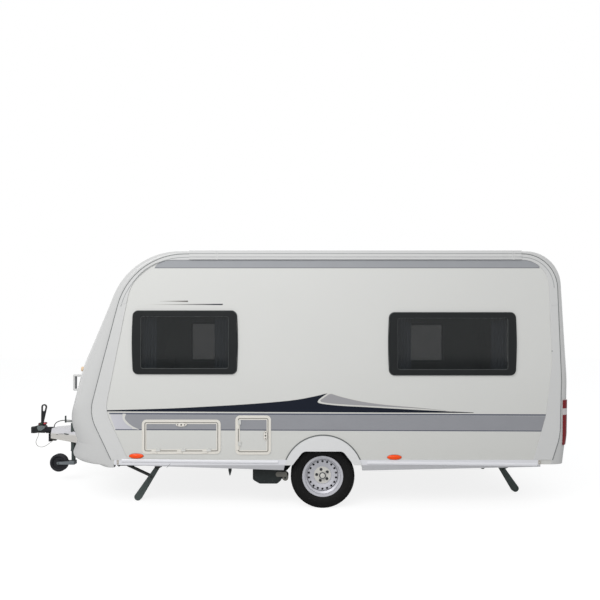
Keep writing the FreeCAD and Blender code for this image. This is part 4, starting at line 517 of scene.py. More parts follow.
windows = [("front_left", -1, -0.804, 1.5915, 0.968, 0.589), ("rear_left", -1, 1.7215, 1.578, 1.180, 0.584),
           ("front_right", 1, -0.950, 1.5915, 0.630, 0.589), ("rear_right", 1, 1.7215, 1.578, 1.180, 0.584)]
window_rims = [("seal", -0.140, -0.096, 0.022, 0.0, 0.0130, 0.0035, seal_rubber, 1.0),
               ("frame_lip", -0.050, -0.036, 0.042, 0.009, 0.0168, 0.0030, window_black, 0.35),
               ("frame_gasket", 0.006, 0.006, 0.046, 0.011, 0.0015, 0.0045, seal_rubber, 0.6)]
for name, side, x, z, wide, high in windows:
    for part, grow_x, grow_z, corner, bow, stand, radius, material, flatten in window_rims:
        rim("%s_%s" % (part, name), (x, z, wide + grow_x, high + grow_z, corner, bow), stand, radius,
            ("body", material, "window_frame"), side, flatten)

# Flaps in the left wall
# The storage flap and the service flap hang in cream borders. Each leaf has a moulded edge, and a
# long oval turn lock with two screws and a keyhole holds it shut. A thin grey ring round each lock is
# a painted shadow.
flap_seal_and_shadow = finish("flap_seal_and_shadow", (150, 147, 141), 0.6, 0.05, 20, 0.0001, 700, shine=0.3)
lock_dark = finish("lock_dark", (48, 46, 44), 0.4, 0.05, 30, 0.0001, 900)


def plate_ring(name, outer, inner, y_face, y_back, body, material, slot_name):
    """A flat ring between two outlines with as many points: its section is the rectangle from y_face to
    y_back, with the outer face's edges eased by 1 mm."""
    ease = 0.001 * np.sign(y_face - y_back)
    middle = (outer + inner) / 2
    towards = middle - outer
    towards /= np.linalg.norm(towards, axis=1)[:, None]
    rows = [(outer, y_back), (outer, y_face - ease), (outer + towards * 0.001, y_face),
            (inner - towards * 0.001, y_face), (inner, y_face - ease), (inner, y_back)]
    grid = np.stack([np.column_stack([line[:, 0], np.full(len(line), y), line[:, 1]]) for line, y in rows],
                    axis=1)
    return skin(name, grid, body, material, closed_u=True)


def turned(name, profile, centre, side, body, material, steps=64, sink=None, closed_v=False,
           squash=(1.0, 1.0)):
    """A body of revolution about a line along Y: the point (y, r) of the profile goes to
    centre + (r cos a, side * y, r sin a), with r lowered by sink(a, y, r) where that is given. squash
    makes it oval."""
    profile = np.array(profile, dtype=float)
    angle = circle(steps)
    radius = np.repeat(profile[None, :, 1], steps, axis=0)
    if sink:
        radius = radius - sink(angle[:, None], profile[None, :, 0], profile[None, :, 1])
    grid = np.zeros((steps, len(profile), 3))
    grid[:, :, 0] = centre[0] + squash[0] * radius * np.cos(angle)[:, None]
    grid[:, :, 1] = centre[1] + side * profile[None, :, 0]
    grid[:, :, 2] = centre[2] + squash[1] * radius * np.sin(angle)[:, None]
    return skin(name, grid, body, material, closed_u=True, closed_v=closed_v)


def disc(name, x, y, z, radius, deep, side, body, material, slot_name, dome=0.0, squash=(1.0, 1.0)):
    """A round button on a wall: its face stands deep outside y, and dome * (1 - t^2) more at the share t
    of the way out, down to the rim's small round and the foot."""
    t = np.linspace(0, 1, 5)
    radii = np.concatenate([t * 0.9, [0.975, 1.0, 1.0, 0.0]]) * radius
    stand = np.concatenate([deep + dome * (1 - t ** 2), [deep * 0.93, deep * 0.75, 0.0, 0.0]])
    return turned(name, np.column_stack([stand, radii]), (x, y, z), side, body, material, 28,
                  squash=squash)


flaps = [("storage", "storage_flap", -0.8365, 0.701, 0.680, 0.260, (-0.8365, 0.8150), (0.052, 0.018)),
         ("service", "service_flap", -0.1585, 0.717, 0.272, 0.306, (-0.0420, 0.712), (0.018, 0.046))]
flap_rims = [("outer_lip", 0.056, 0.036, 0.0062, 0.0026, border_cream),
             ("inner_lip", 0.020, 0.020, 0.0062, 0.0022, border_cream),
             ("gap_seal", 0.0085, 0.014, 0.0, 0.0036, flap_seal_and_shadow)]
for name, body, x, z, wide, high, lock, lock_half in flaps:
    plate_ring(name + "_leaf_edge", loop_corners(x, z, wide - 0.001, high - 0.001, 0.012),
               loop_corners(x, z, wide - 0.020, high - 0.020, 0.008), -1.1535, -1.1495, body, border_cream,
               "wall_skin")
    for part, grow, corner, stand, radius, material in flap_rims:
        rim("%s_%s" % (name, part), (x, z, wide + grow, high + grow, corner), stand, radius,
            ("body", material, "moulding"))
    # A grey ring round the lock: painted shadow.
    bead(name + "_lock_shadow_ring", oval(*lock, *lock_half, 40), -1.1530, 0.0018, body, flap_seal_and_shadow, "wall_skin")
    disc(name + "_lock", lock[0], -WALL, lock[1], 1.0, 0.009, -1, body, border_cream, "wall_skin", 0.001,
         lock_half)
    long_way = np.array(lock_half) * (np.array(lock_half) == max(lock_half))
    for number, (share, radius) in enumerate(((-0.62, 0.0055), (0.0, 0.0075), (0.62, 0.0055))):
        spot = lock + share * long_way
        disc("%s_lock_screw_%d" % (name, number), spot[0], -1.1595, spot[1], radius, 0.0020, -1, body,
             lock_dark, "wall_skin")
for number, x in enumerate((-1.0765, -0.8365, -0.5965)):
    for shift in (-0.028, 0.012):
        disc("storage_hinge_screw_%d_%d" % (number, shift > 0), x + shift, -1.1560, 0.5495, 0.003, 0.0018, -1,
             "body", lock_dark, "moulding")

# Seams and joints of the panels
# A thin grey sealant line runs down each corner between the wall's trim and the end moulding, three
# grooves run along each roof rail, and short covers close the joints of the trims. The grooves in the
# rails and inside the corner trims are grey beads of painted shade.
seal_and_shadow_grey = finish("seal_and_shadow_grey", (104, 108, 107), 0.55, 0.05, 20, 0.0001, 500)
painted_groove_shade = finish("painted_groove_shade", (146, 149, 150), 0.5, 0.05, 20, 0.0001, 500)


def arcs(corners):
    """An open line with rounded corners (x, z, radius): each arc touches both of its runs."""
    points = [np.array(corner[:2], dtype=float) for corner in corners]
    line = [points[0]]
    for before, corner, after, radius in zip(points, points[1:], points[2:], [c[2] for c in corners[1:-1]]):
        back, ahead = before - corner, after - corner
        back, ahead = back / np.linalg.norm(back), ahead / np.linalg.norm(ahead)
        half = math.acos(np.clip(back @ ahead, -1, 1)) / 2
        reach = radius / math.tan(half)
        centre = corner + (back + ahead) / np.linalg.norm(back + ahead) * (radius / math.sin(half))
        start, end = corner + back * reach - centre, corner + ahead * reach - centre
        first = math.atan2(start[1], start[0])
        sweep = (math.atan2(end[1], end[0]) - first + math.pi) % (2 * math.pi) - math.pi
        turn = first + sweep * np.linspace(0, 1, 14)
        line.append(centre + radius * np.column_stack([np.cos(turn), np.sin(turn)]))
    line.append(points[-1])
    return np.vstack([np.atleast_2d(part) for part in line])


nose_seam = arcs([(-1.4998, 0.484, 0), (-1.7050, 0.918, 0.370), (-1.5900, 1.362, 3.0),
                  (-1.3090, 2.426, 0.655), (-0.762, 2.426, 0)])
tail_seam = arcs([(2.3720, 2.426, 0), (2.6980, 2.426, 0.330), (2.7480, 1.250, 1.5), (2.7360, 0.710, 0.600),
                  (2.6640, 0.484, 0)])
TRIM_FACE, GROOVE_INSET, GROOVE_FOOT, RAIL_MIDDLE = 1.1560, 0.032, 1.75, 2.4135
seams = (("nose", nose_seam), ("tail", tail_seam))
trim, seal, groove = [("body", material, "moulding") for material in (trim_white, seal_and_shadow_grey, painted_groove_shade)]
for side, side_name in SIDES:
    for name, line in seams:
        bead("%s_seam_%s" % (name, side_name), line, side * TRIM_FACE, 0.0030, *seal, closed=False)
    # The groove inside each corner trim is a grey bead: painted shade.
    for name, line in seams:
        high = line[line[:, 1] > GROOVE_FOOT]
        run = np.gradient(high, axis=0)
        inward = np.column_stack([run[:, 1], -run[:, 0]]) / np.linalg.norm(run, axis=1)[:, None]
        bead("%s_groove_%s" % (name, side_name), high + inward * GROOVE_INSET, side * 1.1565, 0.0022, *groove,
             closed=False, flatten=0.6)
    # The three grooves of each roof rail are grey beads: painted shade.
    for name, z, radius in (("upper", 2.4280, 0.0022), ("middle", 2.3960, 0.0018), ("lower", 2.3735, 0.0016)):
        bead("rail_groove_%s_%s" % (name, side_name), [(x, z) for x in (-0.7595, 0.2, 1.2, 2.3695)],
             side * 1.1642, radius, *groove, closed=False)
    for name, x in (("front", -0.500), ("rear", 2.294)):
        cover, middle = loop_corners(x, RAIL_MIDDLE, 0.022, 0.085, 0.005), np.array([x, RAIL_MIDDLE])
        plate_ring("rail_joint_%s_%s" % (name, side_name), cover, (cover - middle) * (0.30, 0.80) + middle,
                   side * 1.1662, side * WALL, *trim)
    for name, z, x_low, x_high in (("front", 1.960, -1.4300, -1.3560), ("rear", 1.940, 2.6480, 2.7080)):
        bead("trim_joint_%s_%s" % (name, side_name), [(x, z) for x in np.linspace(x_low, x_high, 3)],
             side * 1.1565, 0.0035, *trim, closed=False, flatten=0.5)
    disc("trim_screw_" + side_name, -1.4420, side * TRIM_FACE, 0.532, 0.007, 0.002, side, "body", trim_white,
         "wall_skin")
    disc("tail_screw_" + side_name, 2.6600, side * TRIM_FACE, 1.510, 0.005, 0.002, side, "body", seal_and_shadow_grey,
         "wall_skin")

# Skirts
# The folded skirt has a bright half-round strip along its top, a slanted joint behind the front
# steady, and a stop block at each end. Below the strip the skirt is painted darker as painted shade.
strip_white = finish("strip_white", (228, 228, 232), 0.22, 0.01, 4, 0.0001, 300, coat=0.3)
stop_beige = finish("stop_beige", (176, 170, 160), 0.5, 0.08, 20, 0.0002, 500)
STRIP_HEIGHT, STRIP_SLOPE, STOP_HEIGHT = 0.4755, -0.0101, 0.4620
for side, side_name in SIDES:
    for name, x_low, x_high in (("front", -1.395, 0.075), ("rear", 0.915, 2.515)):
        line = [(x, STRIP_HEIGHT + STRIP_SLOPE * (x + 1.13)) for x in np.linspace(x_low, x_high, 5)]
        bead("skirt_strip_%s_%s" % (name, side_name), line, side * 1.1602, 0.0165, "body", strip_white,
             "moulding", closed=False, sides=14, flatten=0.52)
    for name, x in (("front", -1.4340), ("rear", 2.5380)):
        stop, middle = loop_corners(x, STOP_HEIGHT, 0.020, 0.040, 0.003), np.array([x, STOP_HEIGHT])
        plate_ring("skirt_stop_%s_%s" % (name, side_name), stop, (stop - middle) * 0.30 + middle,
                   side * 1.1625, side * WALL, "body", stop_beige, "moulding")
    joint = [(-0.9380, 0.449), (-0.9560, 0.430), (-0.9740, 0.4115)]
    bead("skirt_joint_" + side_name, joint, side * 1.1600, 0.0016, *seal, closed=False)

# Wheel arch trims
# The half-round moulding over the wheel has a raised rim all round its outer edge. A grey bead
# along the wall at its outer edge is a painted shadow line.
ARCH_MIDDLE, ARCH_RADIUS = np.array([0.5005, 0.337]), 0.3735
arch_turn = np.radians(np.linspace(15.6, 164.4, 60))
arch_out = ARCH_RADIUS * np.column_stack([np.cos(arch_turn), np.sin(arch_turn)])
for side, side_name in SIDES:
    # The grey bead just outside the trim is a painted shadow line on the wall.
    bead("arch_seal_" + side_name, ARCH_MIDDLE + arch_out * 1.016, side * 1.1525, 0.0050, *seal, closed=False,
         flatten=0.7)
    bead("arch_rim_" + side_name, ARCH_MIDDLE + arch_out * 0.982, side * 1.1690, 0.0060, *trim, closed=False,
         flatten=0.5)

# Wheels
# Steel rims painted silver with a plain pressed centre, five bolts, a cap over the bearing and a
# rubber valve. A black ring behind the vent holes is painted shade, so the holes look dark. The tyre
# has a rounded shoulder, rings on its sidewall and a block tread.
rim_silver = finish("rim_silver", (196, 196, 202), 0.36, 0.04, 6, 0.0001, 600, metal=0.2)
dress(rim_silver, "rim_left", "rim_right")
centre_pale = finish("centre_pale", (214, 212, 206), 0.38, 0.04, 8, 0.0001, 600, metal=0.1)
bolt_dark = finish("bolt_dark", (50, 50, 52), 0.45, 0.1, 40, 0.0001, 900, metal=0.5)
drum_grey = finish("drum_grey", (74, 76, 78), 0.6, 0.12, 12, 0.0004, 300)
dress(drum_grey, "brake_drum_left", "brake_drum_right")
tyre_black = finish("tyre_black", (18, 18, 18), 0.66, 0.10, 10, 0.0003, 420, shine=0.16)
WHEEL = np.array([0.5005, 0.995, 0.307])


def tread_cut(angle, across, radius):
    """Depth of the tread's grooves: four smooth rings, and slanted cuts between the shoulder blocks."""
    ring = sum(np.exp(-((across - place) / 0.0036) ** 4) for place in (-0.042, -0.014, 0.014, 0.042))
    wave = np.sin(62 * angle + 260 * np.abs(across))
    cuts = np.clip((wave - 0.55) * 4, 0, 1) * np.clip((np.abs(across) - 0.047) * 400, 0, 1)
    cuts = cuts * np.clip((radius - 0.290) * 120, 0, 1)
    return 0.0065 * np.clip(ring, 0, 1) * (radius > 0.306) + 0.0042 * cuts


shoulder = eased(np.array([(0.0740, 0.1955), (0.0800, 0.2030), (0.0865, 0.2155), (0.0910, 0.2330),
                           (0.0925, 0.2505), (0.0915, 0.2660), (0.0885, 0.2810), (0.0785, 0.2990),
                           (0.0660, 0.3065)]), 5)
raised, cut_out, cut_in = [np.exp(-((shoulder[:, 1] - radius) / wide) ** 2)
                           for radius, wide in ((0.2080, 0.0022), (0.2620, 0.0016), (0.2680, 0.0016))]
shoulder[:, 0] += 0.0007 * (raised - cut_out - cut_in) - 0.0007
crown = np.column_stack([np.linspace(0.0645, -0.0645, 61), np.full(61, 0.3068)])
tyre_line = np.vstack([shoulder, crown, shoulder[::-1] * (-1, 1)])
PLATE, CAP = 0.0222, 0.0545
cap = [(CAP + 0.0015, 0.0), (CAP + 0.0013, 0.012), (CAP, 0.022), (CAP - 0.004, 0.029), (CAP - 0.010, 0.0330),
       (0.030, 0.0336), (PLATE + 0.0030, 0.0350), (PLATE + 0.0020, 0.0375), (PLATE, 0.0380), (PLATE, 0.0)]
rim_rings = [
    ("centre_bead", [(PLATE, 0.0835), (PLATE + 0.0022, 0.0850), (PLATE + 0.0022, 0.0870), (PLATE, 0.0885)],
     rim_silver, 96),
    ("flange_lip", [(0.0785, 0.1900), (0.0812, 0.1925), (0.0812, 0.1955), (0.0790, 0.1962)],
     rim_silver, 128),
    # The black ring behind the vent holes is painted shade.
    ("well_ring", [(-0.0060, 0.1265), (-0.0060, 0.1600), (-0.0040, 0.1600), (-0.0040, 0.1265)],
     bolt_dark, 64),
    ("centre_face", [(PLATE, 0.0350), (PLATE + 0.0012, 0.0360), (PLATE + 0.0012, 0.0815), (PLATE, 0.0825)],
     centre_pale, 96)]
bolt_seat = [(PLATE, 0.0150), (PLATE + 0.0020, 0.0145), (PLATE + 0.0026, 0.0120), (PLATE + 0.0028, 0.0095)]
bolt_head = [(PLATE + 0.0010, 0.0), (PLATE + 0.0010, 0.0100), (PLATE + 0.0110, 0.0098),
             (PLATE + 0.0130, 0.0085), (PLATE + 0.0130, 0.0)]
valve = [(0.020, 0.0), (0.020, 0.0055), (0.034, 0.0050), (0.036, 0.0040), (0.050, 0.0038), (0.051, 0.0034),
         (0.051, 0.0)]
BOLT_CIRCLE, FIRST_BOLT = 0.056, 104
for side, side_name in SIDES:
    body, hub = "wheel_" + side_name, WHEEL * (1, side, 1)
    tyre = turned("road_tyre_" + side_name, tyre_line, hub, side, body, tyre_black, 496, tread_cut,
                  closed_v=True)
    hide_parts("tyre_" + side_name)
    turned("bearing_cap_" + side_name, cap, hub, side, body, centre_pale, 48)
    for name, profile, material, steps in rim_rings:
        turned("%s_%s" % (name, side_name), profile, hub, side, body, material, steps, closed_v=True)
    for number in range(5):
        turn = math.radians(FIRST_BOLT + 72 * number)
        spot = hub + (BOLT_CIRCLE * math.cos(turn), 0, BOLT_CIRCLE * math.sin(turn))
        turned("bolt_seat_%s_%d" % (side_name, number), bolt_seat, spot, side, body, drum_grey, 24,
               closed_v=True)
        turned("bolt_%s_%d" % (side_name, number), bolt_head, spot, side, body, bolt_dark, 6)
    turned("valve_" + side_name, valve, hub + (-0.0900, 0, -0.1165), side, body, tyre_black, 16)

# Axle, chassis and draw housing
# Hot-dip galvanised steel under the floor, dull and a little patchy, a black painted draw housing
# with its rubber bellows, and dark plywood for the floor's underside.
zinc = finish("zinc", (126, 130, 130), 0.5, 0.14, 26, 0.0002, 500, metal=0.35)
dress(zinc, "axle_tube", "swing_arms", "chassis_frame")
black_paint = finish("black_paint", (26, 27, 30), 0.42, 0.1, 14, 0.0002, 500, shine=0.3)
dress(black_paint, "overrun_housing")
soft_black = finish("soft_black", (30, 31, 36), 0.6, 0.1, 20, 0.0002, 500, shine=0.3)
dress(soft_black, "bellows")
floor_ply = finish("floor_ply", (70, 62, 54), 0.75, 0.2, 9, 0.0006, 300)
dress(floor_ply, "floor_panel")
BELLOWS_HEIGHT = 0.570
fold = np.array([(-0.006, 0.0340), (-0.003, 0.0368), (0.0, 0.0372), (0.003, 0.0368), (0.006, 0.0340)])
turn = circle(40)[:, None]
for number, x in enumerate(np.linspace(-2.6515, -2.5775, 6)):
    grid = np.stack([x + fold[:, 0] + 0 * turn, fold[:, 1] * np.cos(turn),
                     BELLOWS_HEIGHT + fold[:, 1] * np.sin(turn)], axis=-1)
    skin("bellows_fold_%d" % number, grid, "body", soft_black, closed_u=True)

# Coupling head and levers
# A black moulded cap covers the nose of the coupling, its pressed steel flanks are bare grey
# metal, and the lever on it is black with red and green marks at its foot.
head_black = finish("head_black", (20, 22, 24), 0.4, 0.1, 20, 0.0002, 600, shine=0.35)
dress(head_black, "coupling_head", "levers")
bare_steel = finish("bare_steel", (116, 124, 124), 0.38, 0.1, 30, 0.0001, 900, metal=0.6)
warn_red = finish("warn_red", (186, 60, 66), 0.4, 0.08, 20, 0.0001, 600)
ready_green = finish("ready_green", (64, 104, 66), 0.4, 0.08, 20, 0.0001, 600)
flank = eased(np.array([(-2.748, 0.622), (-2.700, 0.626), (-2.668, 0.618), (-2.662, 0.600), (-2.690, 0.578),
                        (-2.722, 0.560), (-2.735, 0.566), (-2.752, 0.596)]), 4)
head_buttons = [
    ("flank_rivet", -2.700, 0.0330, 0.606, 0.007, 0.004, bare_steel, "zinc", 0.001),
    ("nose_button", -2.7955, 0.0372, 0.580, 0.010, 0.004, head_black, "black_plastic", 0.002),
    ("lever_mark", -2.670, 0.0155, 0.648, 0.010, 0.0025, warn_red, "black_plastic", 0.001, (1.5, 1.0)),
    ("lever_wear", -2.712, 0.0155, 0.643, 0.007, 0.0025, ready_green, "black_plastic", 0.001),
    ("lever_dot", -2.733, 0.0155, 0.640, 0.005, 0.0025, warn_red, "black_plastic", 0.001)]
grip_edge = [(-2.7065, 0.670), (-2.7020, 0.730), (-2.6990, 0.780)]
for side, side_name in SIDES:
    tile("flank_" + side_name, flank, side * 0.0335, side * 0.0318, "body", bare_steel, "zinc")
    for name, x, y, z, radius, deep, material, slot_name, *shape in head_buttons:
        disc("%s_%s" % (name, side_name), x, side * y, z, radius, deep, side, "body", material, slot_name,
             *shape)
    bead("lever_rib_" + side_name, grip_edge, side * 0.0078, 0.0030, "body", head_black, "black_plastic",
         closed=False, flatten=0.6)

# Drawbar cover
# A white moulded shell. Each flank has a tapering recess along its fold, drawn as a black sheet of
# painted shade, a raised lip below and a round black plug near the nose.
cover_white = finish("cover_white", (214, 213, 217), 0.3, 0.03, 6, 0.0003, 300,
                     fade=("Z", 0.56, 0.54, (206, 203, 198)))
dress(cover_white, "drawbar_cover")
COVER_NOSE, COVER_LONG = -2.564, 0.594


def cover_place(x, z):
    """Half width of the cover at a place: straight below the fold, then leaning in to the top's edge."""
    along = (x - COVER_NOSE) / COVER_LONG
    half, top, low = 0.095 + 0.235 * along, 0.600 + 0.036 * along, 0.490 - 0.044 * along
    fold_height = (top + low) / 2
    return np.where(z <= fold_height, half, half - 0.28 * half * (z - fold_height) / (top - fold_height))


def draped(name, outline, side, lift, material):
    """A thin plate that follows the cover's flank: each corner is put lift outside it."""
    points = np.array(outline, dtype=float)
    out = cover_place(points[:, 0], points[:, 1])
    rows = [np.column_stack([points[:, 0], side * (out + shift), points[:, 1]]) for shift in (-0.001, lift)]
    return skin(name, np.stack(rows), "body", material, caps=True, smooth=False)


recess = [(-2.498, 0.5370), (-2.470, 0.5360), (-2.430, 0.5430), (-2.376, 0.5530), (-2.412, 0.5530),
          (-2.450, 0.5500)]
PLUG_X, PLUG_Z = -2.253, 0.590
lip_x = np.linspace(-2.550, -1.990, 9)
lip_z = 0.4965 - 0.044 * (lip_x - COVER_NOSE) / COVER_LONG
for side, side_name in SIDES:
    # The recess is a black sheet of painted shade on the flank.
    draped("cover_recess_shade_" + side_name, recess, side, 0.0012, black_paint)
    rows = [np.column_stack([lip_x, side * (cover_place(lip_x, lip_z) + 0.0035 * np.cos(a)),
                             lip_z + 0.0045 * np.sin(a)]) for a in circle(8)]
    skin("cover_lip_" + side_name, np.stack(rows, axis=1), "body", cover_white, caps=True)
    plug_y = float(cover_place(PLUG_X, PLUG_Z)) - 0.006
    disc("cover_plug_" + side_name, PLUG_X, side * plug_y, PLUG_Z, 0.014, 0.012, side, "body", head_black,
         "cover", 0.002)

# Jockey wheel
# Dark galvanised tubes, a lighter pressed fork and a black wheel with a ribbed tread, a hub nut
# at each end of its axle, and a clamp lever at the sleeve.
tube_grey = finish("tube_grey", (66, 74, 72), 0.45, 0.12, 26, 0.0002, 600, metal=0.3)
dress(tube_grey, "jockey_clamp", "jockey_stem")
fork_grey = finish("fork_grey", (118, 124, 128), 0.42, 0.1, 26, 0.0002, 600, metal=0.4)
dress(fork_grey, "jockey_fork")
dress(soft_black, "jockey_wheel")
JOCKEY = np.array([-2.440, -0.150, 0.227])
SLEEVE_X, SLEEVE_Y = -2.280, -0.150
jockey_parts = [
    ("nut", [(0.0385, 0.0), (0.0385, 0.0110), (0.0450, 0.0110), (0.0465, 0.0095), (0.0465, 0.0)],
     "jockey_fork", bare_steel, "zinc", 6, False),
    ("tread", [(0.0185, 0.0955), (0.0200, 0.0985), (0.0170, 0.0996), (0.0140, 0.0985), (0.0125, 0.0970)],
     "jockey_wheel", soft_black, "soft_black", 72, True),
    ("ring", [(0.0285, 0.0740), (0.0305, 0.0760), (0.0305, 0.0800), (0.0285, 0.0830)],
     "jockey_wheel", soft_black, "soft_black", 72, True)]
for side in (-1, 1):
    for name, profile, body, material, slot_name, steps, closed in jockey_parts:
        turned("jockey_%s_%d" % (name, side > 0), profile, JOCKEY, side, body, material, steps,
               closed_v=closed)
for number, low in enumerate((0.360, 0.500, 0.572)):
    rows = []
    for radius, z in ((0.0275, low), (0.0305, low + 0.002), (0.0305, low + 0.012), (0.0275, low + 0.014)):
        ring = oval(SLEEVE_X, SLEEVE_Y, radius, radius, 36)
        rows.append(np.column_stack([ring, np.full(len(ring), z)]))
    skin("sleeve_collar_%d" % number, np.stack(rows), "body", tube_grey, closed_u=True)
bead("clamp_lever", [(-2.300, 0.548), (-2.335, 0.552), (-2.372, 0.560)], -0.183, 0.0060, "body", tube_grey,
     "zinc", closed=False)
disc("clamp_boss", -2.292, -0.1780, 0.548, 0.012, 0.010, -1, "body", bare_steel, "zinc", 0.001)

# Corner steadies
# Pressed steel legs in a worn grey green, darker struts, a stiffening bead along each leg's
# outer face and the heads of the pins.
steady_grey = finish("steady_grey", (84, 93, 91), 0.5, 0.12, 22, 0.0003, 500, metal=0.15, shine=0.3)
strut_dark = finish("strut_dark", (52, 54, 52), 0.5, 0.12, 22, 0.0003, 500, shine=0.3)
LEAN = math.radians(33)
PIVOT_HEIGHT = 0.338
steadies = [("front", -1.150, -1, 0.8272), ("rear", 2.377, 1, 0.5222)]
dress(strut_dark, "steady_mounts")
for end, pivot_x, way, face in steadies:
    for side, side_name in SIDES:
        corner = "%s_%s" % (end, side_name)
        dress(steady_grey, "steady_leg_" + corner)
        dress(strut_dark, "steady_strut_" + corner)
        lean, pivot = np.array([way * math.sin(LEAN), -math.cos(LEAN)]), np.array([pivot_x, PIVOT_HEIGHT])
        bead("leg_bead_" + corner, [pivot + lean * along for along in (0.150, 0.230, 0.320)], side * face,
             0.0050, "leg_" + corner, steady_grey, "zinc", closed=False, flatten=0.5)
        for number, along in enumerate((0.0, 0.115)):
            x, z = pivot + lean * along
            disc("leg_pin_%s_%d" % (corner, number), x, side * face, z, 0.0110, 0.004, side, "leg_" + corner,
                 strut_dark, "zinc", 0.001)

# Manoeuvring drives
# A rounded black motor housing ahead of each tyre, with a ribbed grey roller, a swing arm, a guard
# plate, a wire clip and four cover screws.
mover_black = finish("mover_black", (28, 34, 34), 0.5, 0.1, 14, 0.0003, 420, shine=0.3)
dress(mover_black, "mover_drives")
roller_grey = finish("roller_grey", (104, 102, 96), 0.55, 0.12, 30, 0.0003, 600, metal=0.2)


def roller_ribs(angle, across, radius):
    """Fine ribs along the roller: a raised sine of 30 waves round it."""
    return 0.0008 * (0.5 + 0.5 * np.sin(30 * angle)) * (np.abs(across) < 0.072)


drum_end = [(-0.0752, 0.010), (-0.0752, 0.0260), (-0.0740, 0.0284)]
drum = drum_end + [(y, 0.0288) for y in np.linspace(-0.071, 0.071, 5)] + [(-y, r) for y, r in drum_end[::-1]]
arm_turn = np.linspace(math.pi / 2, 3 * math.pi / 2, 12)
arm = np.vstack([np.column_stack([0.074 + 0.024 * np.cos(arm_turn), 0.328 + 0.024 * np.sin(arm_turn)]),
                 [(0.150, 0.306), (0.160, 0.322), (0.152, 0.350)]])
guard = [(0.060, 0.424), (0.176, 0.424), (0.205, 0.392), (0.182, 0.352), (0.150, 0.318), (0.080, 0.276)]
clip = [(-0.398, 0.420), (-0.394, 0.372), (-0.384, 0.331), (-0.378, 0.331), (-0.366, 0.372), (-0.364, 0.420)]
seam = arcs([(-0.163, 0.372, 0), (-0.163, 0.280, 0.028), (-0.104, 0.246, 0.036), (0.066, 0.246, 0.028),
             (0.098, 0.276, 0)])
DRIVE_FACE = 1.0700
housing = ("body", mover_black, "black_paint")
for side, side_name in SIDES:
    turned("roller_" + side_name, drum, (0.142, side * 0.995, 0.292), side, "body", roller_grey,
           240, roller_ribs, closed_v=True)
    tile("drive_arm_" + side_name, arm, side * 1.0790, side * DRIVE_FACE, "body", roller_grey, "black_paint")
    tile("drive_guard_" + side_name, guard, side * 0.8925, side * 0.8885, *housing)
    for number, (x, z) in enumerate(((-0.140, 0.360), (-0.140, 0.300), (0.020, 0.262), (-0.060, 0.262))):
        disc("drive_screw_%s_%d" % (side_name, number), x, side * DRIVE_FACE, z, 0.0060, 0.003, side, "body",
             strut_dark, "black_paint")
    bead("drive_seam_" + side_name, seam, side * DRIVE_FACE, 0.0030, *housing, closed=False, flatten=0.6)
    tile("wire_clip_" + side_name, clip, side * 1.1362, side * 1.1200, *housing)

# Lamps
# Orange side markers, red tail clusters with a clear band, a red high brake lamp and clear nose
# lamps. The side markers have fine ribs; every colour fills its own box of X and Z.
lens = finish("lens", (124, 8, 18), 0.2, 0.04, 8, 0.0001, 400, coat=0.1, shine=0.3)
lens_tree = lens.node_tree
lens_base = lens_tree.nodes["Principled BSDF"].inputs["Base Color"]
lens_place, lens_parts = add_node(lens_tree, "TexCoord"), add_node(lens_tree, "SeparateXYZ")
wire(lens_tree, (lens_place.outputs["Object"], lens_parts.inputs[0]))
lens_colour = lens_base.links[0].from_socket
lens_boxes = [((-9, 2.3), (0.0, 0.7), (252, 80, 4)), ((2.3, 9), (0.908, 0.968), (206, 200, 200)),
              ((-9, -1.5), (1.0, 1.6), (226, 196, 160))]
for (x_low, x_high), (z_low, z_high), colour in lens_boxes:
    paint = add_node(lens_tree, "Mix", {"B": linear(*colour)}, data_type="RGBA")
    inside = None
    for axis, limit, sense in (("X", x_low, "GREATER_THAN"), ("X", x_high, "LESS_THAN"),
                               ("Z", z_low, "GREATER_THAN"), ("Z", z_high, "LESS_THAN")):
        test = add_node(lens_tree, "Math", {1: limit}, operation=sense)
        wire(lens_tree, (lens_parts.outputs[axis], test.inputs[0]))
        if inside is not None:
            both = add_node(lens_tree, "Math", operation="MULTIPLY")
            wire(lens_tree, (inside, both.inputs[0]), (test.outputs[0], both.inputs[1]))
            test = both
        inside = test.outputs[0]
    wire(lens_tree, (inside, paint.inputs["Factor"]), (lens_colour, paint.inputs["A"]))
    lens_colour = paint.outputs["Result"]
wire(lens_tree, (lens_colour, lens_base))
dress(lens, "lamps")
marker_bezel = finish("marker_bezel", (150, 148, 142), 0.4, 0.05, 20, 0.0001, 500)
MARKER_HALF, MARKER_PROUD = 0.0685, 0.016
for side, side_name in SIDES:
    for name, x, z in (("front", -1.262, 0.5195), ("rear", 1.174, 0.5075)):
        bead("marker_bezel_%s_%s" % (name, side_name), oval(x, z, 0.0695, 0.0245, 48), side * 1.1508, 0.0022,
             "body", marker_bezel, "lamp")
        for number, shift in enumerate(np.linspace(-0.052, 0.052, 9)):
            share = math.sqrt(1 - (shift / MARKER_HALF) ** 2)
            rows = [[(x + shift + 0.0012 * math.cos(a),
                      side * (WALL + MARKER_PROUD * share * math.cos(t) + 0.0010 * math.sin(a)),
                      z + 0.0215 * share * math.sin(t)) for a in circle(6)]
                    for t in np.linspace(-0.9, 0.9, 7)]
            skin("marker_rib_%s_%s_%d" % (name, side_name, number), np.array(rows), "body", lens,
                 caps=True)

# Number plate
# A blank white plate with a thin black holder round it.
plate_white = finish("plate_white", (226, 226, 222), 0.35, 0.02, 8, 0.0001, 400)
dress(plate_white, "number_plate")
PLATE_X = 2.8245
plate_line = loop_corners(0.0, 0.595, 0.516, 0.106, 0.008)
turn = circle(8)
across, up = plate_line[:, :1], plate_line[:, 1:]
holder = np.stack([PLATE_X + 0.003 * np.sin(turn) + 0 * across,
                   across + 0.004 * np.cos(turn) * np.sign(across), up + 0 * turn], axis=-1)
skin("plate_holder", holder, "body", black_paint, closed_u=True)

